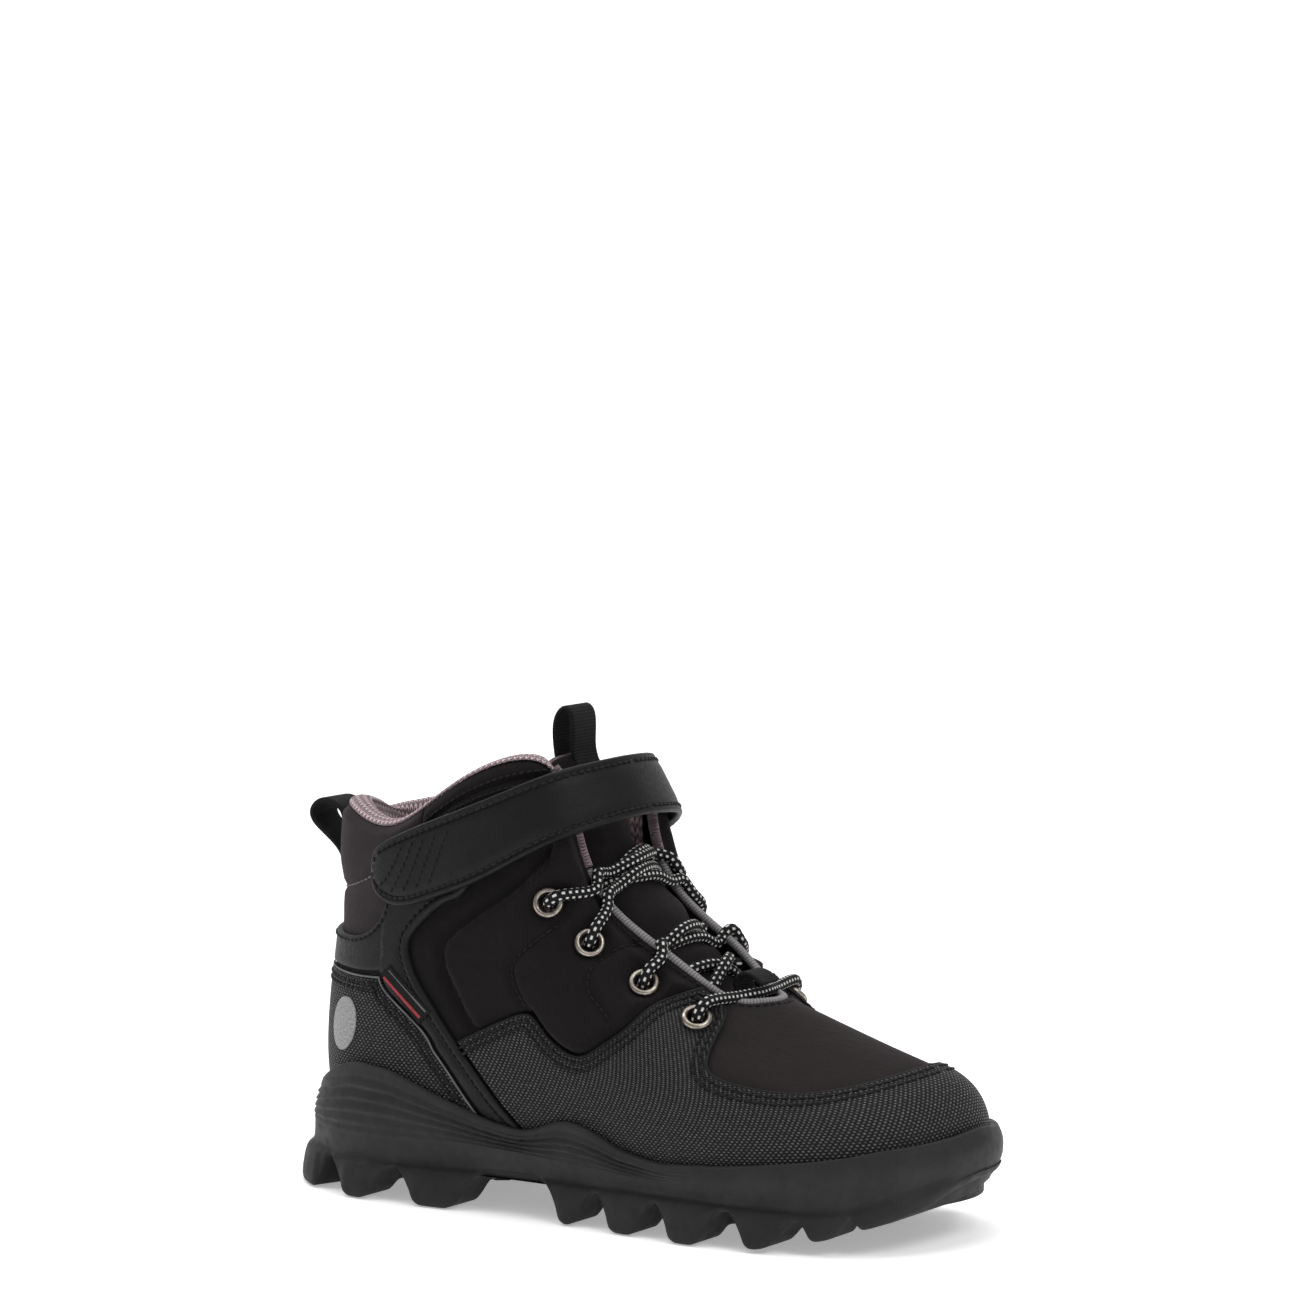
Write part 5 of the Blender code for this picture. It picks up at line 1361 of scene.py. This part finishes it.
piping = tube("throat_piping_tape", edge_line(5.62, 14.38, 260), 1.15, TAPE, 16)
own(piping, "boot", "grey_piping", "throat_piping")
for side, a_u, b_u in (("lateral", 4.25, 5.6), ("medial", 14.4, 15.75)):
    binding = tube("binding_" + side, edge_line(a_u, b_u, 60, 0.5, 0.6), 1.4, KNIT_EDGE, 16)
    own(binding, "boot", "mauve_knit", "front_binding_" + side)

label_outline = [(2.3, 2.86), (2.42, 3.0), (3.08, 2.28), (2.95, 2.08)]
label = panel("side_label_tab", label_outline, *BADGE, WEBBING, step=1.0, edge=0.2)
own(label, "boot", "webbing", "side_label")
for name, corners, mat in (
        ("side_label_stripe", [(2.36, 2.79), (2.385, 2.82), (2.97, 2.20), (2.945, 2.165)], RED),
        ("side_label_line", [(2.43, 2.90), (2.445, 2.915), (3.03, 2.285), (3.015, 2.265)], THREAD_GREY)):
    own(panel(name, corners, BADGE[1] - 0.1, BADGE[1] + 0.08, mat, step=1.0, edge=0.1), "boot", "webbing")
oval = [(1.72 + 0.28 * cos(2 * pi * k / 40), 2.0 + 0.45 * sin(2 * pi * k / 40)) for k in range(40)]
badge = panel("heel_badge_print", oval, OVERLAY[1] - 0.2, OVERLAY[1] + 0.25, INK, step=1.0, edge=0.2)
own(badge, "boot", "reflective_print", "heel_badge")

# ---------------------------------------------------------------- eyelets
for number, ((centre, axis, _), lift) in enumerate(zip(SEATS, LIFTS)):
    hole, barrel, flange = EYELET_R
    profile = [(hole - 0.05, lift - 2.4), (hole - 0.1, lift - 0.4)]
    for angle in np.linspace(0.15 * pi, pi, 9):
        profile.append(((hole + flange) / 2 - (flange - hole) / 2 * cos(angle),
                        lift + 0.25 + 0.95 * sin(angle)))
    profile += [(flange, lift - 0.1), (flange - 0.4, lift - 0.35), (barrel, lift - 0.4), (barrel, lift - 2.4)]
    side = np.cross(axis, (0.0, 0.0, 1.0))
    side /= np.linalg.norm(side)
    up = np.cross(axis, side)
    turns = np.arange(40) * 2 * pi / 40
    radial = np.cos(turns)[:, None] * side + np.sin(turns)[:, None] * up
    points = np.array([centre + radial[t] * r + axis * h for r, h in profile for t in range(40)])
    faces = grid_faces(len(profile), 40, True, True)
    ring = make("eyelet_ring_%d" % number, points, faces, NICKEL, points[:, :2], 60)
    outward(ring)
    node = "eyelet_%s_%d" % ("lateral" if number < 4 else "medial", number % 4 + 1)
    own(ring, "boot", "antique_nickel", node)

# ---------------------------------------------------------------- tongue
TONGUE_LINE = [(44, 50), (34, 55), (22, 62.5), (9, 73), (-2.6, 86), (-10.5, 102), (-19.5, 118.6)]
TONGUE_R = 18.0
tongue_mid = open_curve(TONGUE_LINE, 97)
tongue_dir = unit(np.gradient(tongue_mid, axis=0))


def tongue_point(s, y, lift=0.0):
    """Points above the tongue's outer face, s from the throat (0) to the top (1)."""
    s, y, lift = np.broadcast_arrays(np.asarray(s, float), np.asarray(y, float), np.asarray(lift, float))
    t = s * (len(tongue_mid) - 1)
    at = np.arange(len(tongue_mid))
    mid = sample(t, at, tongue_mid)
    way = sample(t, at, tongue_dir)
    mid = mid + way * (np.maximum(t - at[-1], 0) + np.minimum(t, 0))[..., None] * 1.15
    angle = y / TONGUE_R
    out = (TONGUE_R + lift) * np.cos(angle) - TONGUE_R
    return np.stack([mid[..., 0] + way[..., 1] * out, (TONGUE_R + lift) * np.sin(angle),
                     mid[..., 1] - way[..., 0] * out], -1)


def tongue_body(name, mat, top, bottom, half, length, slot, swell=None, around=44, rows=120):
    """Padded body between two lifts, functions of s; swell(s, y) adds to its outer face."""
    s = np.linspace(0.0, 1.0, rows)
    a = [2 * pi * q / around for q in range(around)]
    ring_y = np.array([np.sign(cos(x)) * abs(cos(x)) ** 0.6 for x in a])
    ring_side = np.array([np.sign(sin(x)) * abs(sin(x)) ** 0.55 for x in a])
    end = np.sqrt(np.clip(1 - (np.clip((s - 0.95) / 0.05, 0, 1)) ** 2, 0.0, 1))
    width = half * (0.62 + 0.38 * end) * np.where(s > 0.995, 0.9, 1.0)
    hi, lo = top(s)[:, None], bottom(s)[:, None]
    half_t = (hi - lo) / 2 * np.maximum(end, 0.12)[:, None]
    lift = (hi + lo) / 2 + half_t * ring_side[None, :]
    y = width[:, None] * ring_y[None, :]
    if swell:
        lift = lift + swell(s[:, None], y) * np.maximum(ring_side, 0)[None, :]
    points = tongue_point((s * length)[:, None], y, lift).reshape(-1, 3)
    uv = np.stack(np.broadcast_arrays(s[:, None] * 105, y * 1.0), -1).reshape(-1, 2)
    faces = grid_faces(rows, around, close_columns=True)
    faces += [tuple(range(around)), tuple((rows - 1) * around + q for q in reversed(range(around)))]
    obj = make(name, points, faces, mat, uv[:, ::-1])
    outward(obj)
    own(obj, "tongue", slot, "tongue", fill=0.75)


def tongue_thick(s):
    return 2.0 + 4.0 * np.minimum(1.0, s * 1.6)


def tongue_quilt(s):
    """Soft channels across the tongue."""
    return 0.25 - 0.5 * np.exp(-((s - 0.30) / 0.02) ** 2) - 0.5 * np.exp(-((s - 0.78) / 0.02) ** 2)


def tongue_swell(s, y):
    """The padding stands up between the crossings of the lace and lies flatter across the middle."""
    puff = 2.0 * np.exp(-((s - 0.575) / 0.05) ** 2) + 1.2 * np.exp(-((s - 0.425) / 0.025) ** 2)
    flat = 2.6 * np.minimum(np.abs(y) / 13.0, 1.0) ** 2 * smooth((s - 0.18) / 0.12)
    flat = flat * (1 - smooth((s - 0.64) / 0.12))
    return (puff + flat) * (1 - smooth((np.abs(y) - 12.5) / 4.0))


tongue_body("tongue_face", NUBUCK_SHADED, tongue_quilt, lambda s: -0.45 * tongue_thick(s), 17.0, 1.02, "nubuck",
            tongue_swell)
tongue_body("tongue_lining", KNIT_EDGE, lambda s: -0.28 * tongue_thick(s), lambda s: -tongue_thick(s), 17.4,
            1.03, "mauve_knit")

KEEPER = [(36.4, 55.8), (33, 57.6), (30.3, 59.6), (28.9, 61.8), (29.8, 64.1), (32.4, 64.9), (35.2, 63.8),
          (36.8, 62.6)]
keeper = ribbon("lace_keeper_tab", KEEPER, 9.0, WEBBING_T, WEBBING)
own(keeper, "tongue", "webbing", "lace_keeper")
TONGUE_LOOP = [(-22.6, 110), (-25.3, 116), (-26.6, 124.5), (-25.8, 129.8), (-23.3, 132), (-21.2, 129.8),
               (-21.0, 124.5), (-20.6, 119.4), (-18.0, 113)]
loop = ribbon("tongue_pull_loop", TONGUE_LOOP, 11.4, WEBBING_T, WEBBING)
bridge(loop, ("tongue", "tongue_loop"), (-23.3, 0, 117.5), (-23.3, 0, 124.5), "webbing", "tongue_loop")
HEEL_LOOP = [(-94.9, 84), (-96.3, 89), (-101, 93.4), (-105.2, 97), (-105.6, 100.3), (-102.5, 102.6),
             (-98.4, 102), (-95.7, 99.8), (-94.8, 96.2)]
own(ribbon("heel_pull_loop", HEEL_LOOP, 12.0, WEBBING_T, WEBBING), "boot", "webbing", "heel_loop")

# ---------------------------------------------------------------- elastic lace
OVER_U = [5.75, 6.05, 6.9, 7.9]
UNDER_U = [5.85, 6.65, 7.3, 7.6]


def edge_point(k, u, d, v=6.0, beyond=0.0):
    u = u if k < 4 else STATIONS - u
    return on_last(u, v, d) + unit(last_face(u, 6.0) - last_face(u, 5.6)) * beyond


def seat_point(k, height, lean, towards):
    centre, axis, _ = SEATS[k]
    way = edge_point(k, towards, 0) - centre
    way = way - axis * (way @ axis)
    return centre + axis * height + unit(way) * lean


def leave(k):
    """Out through eyelet k and over the edge."""
    u, top = OVER_U[k % 4], LIFTS[k]
    return [seat_point(k, top - 1.4, 0.0, u), seat_point(k, top + 1.2, 0.5, u),
            seat_point(k, top + 2.7, 3.0, u), edge_point(k, u, 2.3, 5.72), edge_point(k, u, 1.9, 6.0, 1.2)]


def arrive(k):
    """In under the edge and up into eyelet k."""
    u = UNDER_U[k % 4]
    return [edge_point(k, u, -3.4, 6.0, 0.6), seat_point(k, -4.2, 4.5, u), seat_point(k, -3.2, 0.7, u),
            seat_point(k, -1.4, 0.0, u)]


def over_tongue(*spots):
    return [tongue_point(*spot) for spot in spots]


def bar_end(k):
    """In from the bar at the throat's base, down through eyelet k."""
    return leave(k)[2::-1] + arrive(k)[2::-1]


one = [(34.0, 0, 59.6), (33.8, -4, 59.7), (32.8, -9, 59.6)] + bar_end(3)
one += over_tongue((0.30, -9, 1.6), (0.322, -4.5, 2.6), (0.35, 0.5, 4.9), (0.376, 6, 3.4), (0.39, 11, 1.6))
one += arrive(6) + leave(6)
one += over_tongue((0.45, 11.5, 4.2), (0.468, 6, 2.6), (0.473, 0, 1.9), (0.475, -7, 1.8), (0.48, -12, 1.4))
one += arrive(1) + leave(1)
one += over_tongue((0.668, -11.0, 4.4), (0.688, -5, 3.6), (0.702, 3, 2.2), (0.70, 11, 2.3))
one += arrive(4) + leave(4)
one += over_tongue((0.748, 13, 2.2), (0.752, 8, 1.9), (0.748, 3, 1.8), (0.735, -2, 1.2), (0.72, -5, 0.2))
two = [(34.0, 0, 59.6), (33.8, 4, 59.7), (32.8, 9, 59.6)] + bar_end(7)
two += over_tongue((0.31, 11, 1.6), (0.345, 6, 1.8), (0.370, 0, 1.9), (0.384, -7, 1.8), (0.39, -12, 1.4))
two += arrive(2) + leave(2)
two += over_tongue((0.473, -10.5, 3.8), (0.487, -4, 4.9), (0.495, 3, 4.0), (0.50, 10, 1.9))
two += arrive(5) + leave(5)
two += over_tongue((0.655, 11, 4.4), (0.675, 4, 2.6), (0.682, -4, 1.8), (0.692, -11, 1.6))
two += arrive(0) + leave(0)
two += over_tongue((0.712, -11.0, 3.2), (0.724, -3, 2.9), (0.736, 5, 2.8), (0.738, 12, 2.8),
                   (0.722, 15.5, 1.4), (0.70, 18.5, -0.6))


def tidy_path(points, step):
    """Even, rounded version of a waypoint path."""
    points = np.array([np.asarray(p, float) for p in points])
    keep = [0]
    for i in range(1, len(points)):
        if np.linalg.norm(points[i] - points[keep[-1]]) > 0.3:
            keep.append(i)
    points = points[keep]
    count = len(points)
    knots = np.concatenate([[0], np.cumsum(np.sqrt(np.linalg.norm(np.diff(points, axis=0), axis=1)))])
    out = []
    for t in np.linspace(0, knots[-1], 3000):
        k = min(max(int(np.searchsorted(knots, t) - 1), 0), count - 2)
        p = [points[max(k - 1, 0)], points[k], points[k + 1], points[min(k + 2, count - 1)]]
        q = [knots[max(k - 1, 0)], knots[k], knots[k + 1], knots[min(k + 2, count - 1)]]
        if k == 0:
            q[0], p[0] = q[1] - (q[2] - q[1]), 2 * p[1] - p[2]
        if k + 2 > count - 1:
            q[3], p[3] = q[2] + (q[2] - q[1]), 2 * p[2] - p[1]
        m = [p[i] + (p[i + 1] - p[i]) * (t - q[i]) / (q[i + 1] - q[i]) for i in range(3)]
        m = [m[i] + (m[i + 1] - m[i]) * (t - q[i]) / (q[i + 2] - q[i]) for i in range(2)]
        out.append(m[0] + (m[1] - m[0]) * (t - q[1]) / (q[2] - q[1]))
    out = np.array(out)
    run = lengths(out)
    at = np.linspace(0, run[-1], int(run[-1] / step))
    out = sample(at, run, out)
    padded = np.pad(out, ((5, 5), (0, 0)), mode="edge")
    return np.stack([np.convolve(column, bell(13), mode="valid") for column in padded.T], 1)


lace_path = np.vstack([tidy_path(one, 0.45)[::-1], tidy_path(two, 0.45)[1:]])
lace_run = lengths(lace_path)
around = 14
angle = np.linspace(0, 2 * pi, around + 1)
bulge = LACE_R * (0.965 + 0.035 * np.cos(2 * pi * (lace_run[:, None] / FLECK + 3 * angle[None] / pi)))
lace_rings, lace_uv = hose(lace_path, bulge, around)
THROAT_HALF = 20.5
lateral = lace_path[:, 1] < 0
stretches = np.split(np.arange(len(lace_path)), np.flatnonzero(np.diff(lateral)) + 1)
end_row = len(lace_path) - 1
for side, sign in (("lateral", -1), ("medial", 1)):
    points, faces, uvs = [], [], []
    for stretch in stretches:
        if lateral[stretch[0]] != (sign < 0):
            continue
        first, last = stretch[0], min(stretch[-1] + 1, end_row)
        start = len(points) * (around + 1)
        faces += grid_faces(last - first + 1, around + 1, start=start)
        if first == 0:
            faces.append(tuple(start + q for q in reversed(range(around + 1))))
        if last == end_row:
            faces.append(tuple(start + (last - first) * (around + 1) + q for q in range(around + 1)))
        points += list(lace_rings[first:last + 1])
        uvs += list(lace_uv[first:last + 1])
    lace = make("elastic_lace_" + side, np.array(points).reshape(-1, 3), faces, CORD,
                np.array(uvs).reshape(-1, 2))
    bridge(lace, ("boot", "tongue"), (0, sign * THROAT_HALF, 80), (0, sign * THROAT_HALF * 0.42, 80),
           "lace_cord", "elastic_lace")

# ---------------------------------------------------------------- ankle strap
STRAP_TOP = [(-69, -28.6, 91.5), (-66.5, -29.9, 94.6), (-62, -31.2, 97.2), (-56, -32.2, 99.8),
             (-50, -33.0, 102.2), (-42, -33.6, 105.2), (-34, -33.8, 108.3), (-25, -33.2, 112),
             (-17, -31, 115.6)]
STRAP_LOW = [(-69, -29.0, 86), (-66, -31.4, 82.6), (-61, -33.0, 80.2), (-54.5, -34.4, 80.2),
             (-47, -35.4, 82.4), (-39, -36.2, 85.2), (-31, -36.4, 88.4), (-22, -35.6, 93), (-13, -33, 98)]
FRONT_TOP = [(-11, -25.5, 118.2), (-7, -17.5, 119.6), (-5, -8, 120.3), (-5, 2, 120.2), (-7, 10.5, 119.4),
             (-11.5, 18.5, 117.4)]
FRONT_LOW = [(-6.5, -27.5, 101.3), (-1, -19, 103.8), (2.5, -9, 105.3), (3.2, 1, 105.2), (1.5, 11, 104.2),
             (-3, 20, 102)]
ANCHOR_TOP = [(-17.3, 25.2, 114.3), (-24, 28.4, 110.5), (-33, 29.8, 106.3), (-41, 30.2, 102.6)]
ANCHOR_LOW = [(-9.3, 27.6, 98.7), (-17, 30.6, 94.6), (-27, 31.7, 90.3), (-36, 32.2, 86.6)]
top_edge = open_curve(STRAP_TOP + FRONT_TOP + ANCHOR_TOP, 620)
low_edge = open_curve(STRAP_LOW + FRONT_LOW + ANCHOR_LOW, 620)
mid_run = lengths((top_edge + low_edge) / 2)
even = np.linspace(0, mid_run[-1], 460)
top_edge = sample(even, mid_run, top_edge)
low_edge = sample(even, mid_run, low_edge)
across = top_edge - low_edge
band_width = np.linalg.norm(across, axis=1)
centre_line = (top_edge + low_edge) / 2
band_normal = unit(np.cross(across, np.gradient(centre_line, axis=0)))
if (band_normal[200] @ np.array([0.2, -1.0, 0.2])) < 0:
    band_normal = -band_normal
EDGE_IN = 2.0
across_dir = across / band_width[:, None]
half_width = band_width / 2 * (0.35 + 0.65 * dome(even / 2.6))


def strap_height(in_mm):
    """Height of the outer face, in_mm in from the nearer long edge."""
    groove = 0.32 * np.exp(-((in_mm - EDGE_IN) / 0.45) ** 2)
    return STRAP_T / 2 + 0.25 * smooth((in_mm - EDGE_IN) / 3.0) - groove


outer_share = np.concatenate([np.linspace(0.0, 0.28, 14), np.linspace(0.31, 0.69, 14),
                              np.linspace(0.72, 1.0, 14)])
share = 2 * np.concatenate([outer_share, np.linspace(1.0, 0.0, 14)]) - 1
outer = np.arange(len(share)) < len(outer_share)
from_edge = (1 - np.abs(share))[None, :] * half_width[:, None]
rounding = dome(from_edge / 0.7) * np.maximum(dome(even / 0.7), sqrt(0.02))[:, None]
out_by = np.where(outer[None], strap_height(from_edge), -STRAP_T / 2) * (0.35 + 0.65 * rounding)
strap_points = (centre_line[:, None] + across_dir[:, None] * (share[None, :] * half_width[:, None])[..., None]
                + band_normal[:, None] * out_by[..., None])
strap_uv = np.stack(np.broadcast_arrays(even[:, None], share[None, :] * half_width[:, None]), -1)
split = int(np.argmin(np.abs(centre_line[:, 1] + 3) + 100 * (centre_line[:, 0] < -20)))
FOLDS = {"strap_tab": (("strap_front", "strap_tab"), (-10.5, -27.5, 106.9), (-21.5, -34.5, 106.9)),
         "strap_anchor": (("boot", "strap_front"), (-21.0, 30.0, 106.5), (-9.0, 21.5, 106.5))}
for name, first, stop in (("strap_tab", 0, split + 1), ("strap_anchor", split, len(even))):
    rows, columns = stop - first, len(share)
    points = strap_points[first:stop].reshape(-1, 3)
    faces = grid_faces(rows, columns, close_columns=True)
    if first == 0:
        faces.append(tuple(range(columns)))
    if stop == len(even):
        faces.append(tuple((rows - 1) * columns + q for q in reversed(range(columns))))
    strap = make(name + "_band", points, faces, LEATHER_MAT, strap_uv[first:stop].reshape(-1, 2))
    probe = rows // 2
    corner = points[probe * columns + 20]
    turn = np.cross(points[probe * columns + 21] - corner, points[(probe + 1) * columns + 21] - corner)
    if turn @ band_normal[first + probe] < 0:
        strap.data.flip_normals()
    bridge(strap, *FOLDS[name], "smooth_leather", name, "strap_front")


def strap_spot(at_mm, across_mm, lift):
    """Points across_mm above the strap's middle line and lift out from its sheet, and their normals."""
    n = sample(at_mm, even, band_normal)
    middle = sample(at_mm, even, centre_line)
    return middle + sample(at_mm, even, across_dir) * across_mm[:, None] + n * lift, n


def seam_reach(at_mm):
    """From the strap's middle line to its edge stitching."""
    return np.interp(at_mm, even, half_width) - EDGE_IN


NOSE = 3.2
for name, low_mm, high_mm in (("strap_tab", NOSE, even[split] - 0.3),
                              ("strap_anchor", even[split] + 0.3, even[-1] - 1.5)):
    group = name + "_stitching"
    at_mm = np.arange(low_mm, high_mm, 0.6)
    for edge in (1, -1):
        stitch_row(group, *strap_spot(at_mm, seam_reach(at_mm) * edge, STRAP_T / 2 - 0.12), pitch=2.2,
                   share=0.74, radius=0.44)
    if name == "strap_tab":
        round_nose = NOSE - 0.9 * np.cos(np.linspace(-pi / 2, pi / 2, 21))
        across_mm = np.linspace(-1, 1, 21) * seam_reach(NOSE)
        stitch_row(group, *strap_spot(round_nose, across_mm, STRAP_T / 2 - 0.05), pitch=2.0)
        t = np.linspace(0.0, 1.0, 30)
        for number in range(5):
            at_mm = 5.2 + number * 4.4 + 9.0 * t
            across_mm = (2 * t - 1) * (seam_reach(at_mm) - 1.2)
            stitch_row(group, *strap_spot(at_mm, across_mm, STRAP_T / 2 + 0.12), pitch=2.0)
    bridge(thread(group, THREAD), *FOLDS[name], "smooth_leather")

patch_outline = [(2.32, 4.45), (3.3, 4.5), (3.62, 4.68), (3.84, 5.0), (3.88, 5.28), (2.32, 5.28)]
patch = panel("loop_patch_felt", patch_outline, 1.95, 2.5, HOOK, step=1.4, edge=0.3)
own(patch, "boot", "hook_tape", "loop_patch")
for node, mat in (("hook_patch", HOOK), ("shank", NICKEL), ("insole_board", FOAM)):
    frame["nodes"][node].data.materials.clear()
    frame["nodes"][node].data.materials.append(mat)

# ---------------------------------------------------------------- floor, light
def sweep(name, profile, half_wide, mat):
    """Seamless studio paper: a floor that curves up behind the boot."""
    profile = np.array(profile, float)
    across = np.array([-half_wide, half_wide])
    points = np.array([(x, y, z) for y, z in profile for x in across])
    data = bpy.data.meshes.new(name)
    data.from_pydata(points.tolist(), [], [list(map(int, f[::-1])) for f in grid_faces(len(profile), 2)])
    data.polygons.foreach_set("use_smooth", [True] * len(data.polygons))
    data.materials.append(mat)
    obj = bpy.data.objects.new(name, data)
    bpy.context.scene.collection.objects.link(obj)
    return obj


ground = Paint("studio_paper", (0.93, 0.93, 0.93), 0.95, Specular_IOR_Level=0.0, Emission_Color=(1, 1, 1, 1),
               Emission_Strength=0.34)
mottle = ground.noise(ground.coords("Object"), 3.0)
ground.paint(ground.mix(mottle, (0.925, 0.925, 0.925), (0.935, 0.935, 0.935)))
curve = [(-6.0, -0.0003), (2.0, -0.0003)]
curve += [(2.0 + 2.0 * sin(t), 2.0 - 2.0003 * cos(t)) for t in np.linspace(0.05, 1.5, 24)] + [(4.02, 7.0)]
paper = sweep("studio_paper", curve, 8.0, ground.mat)
paper.rotation_mode = "XYZ"
paper.rotation_euler = (0, 0, AZIMUTH)

world_light = bpy.data.worlds.new("studio")
bpy.context.scene.world = world_light
world_light.use_nodes = True
background = world_light.node_tree.nodes["Background"]
background.inputs["Color"].default_value = (1, 1, 1, 1)
background.inputs["Strength"].default_value = 0.42


def lamp(name, kind, place, aim, energy, size):
    light = bpy.data.lights.new(name, kind)
    light.energy = energy
    if kind == "SUN":
        light.angle = size
    else:
        light.shape = "DISK"
        light.size = size
    obj = bpy.data.objects.new(name, light)
    bpy.context.scene.collection.objects.link(obj)
    obj.location = place
    obj.rotation_mode = "QUATERNION"
    obj.rotation_quaternion = (Vector(aim) - Vector(place)).to_track_quat("-Z", "Y")


lamp("overhead", "SUN", (-0.65, 0.3, 1.7), (0, 0, 0), 2.5, 1.2)
lamp("toe_side", "AREA", (1.15, -0.35, 1.35), (0, 0, 0.1), 9, 0.9)
bpy.context.scene.view_settings.view_transform = "Standard"
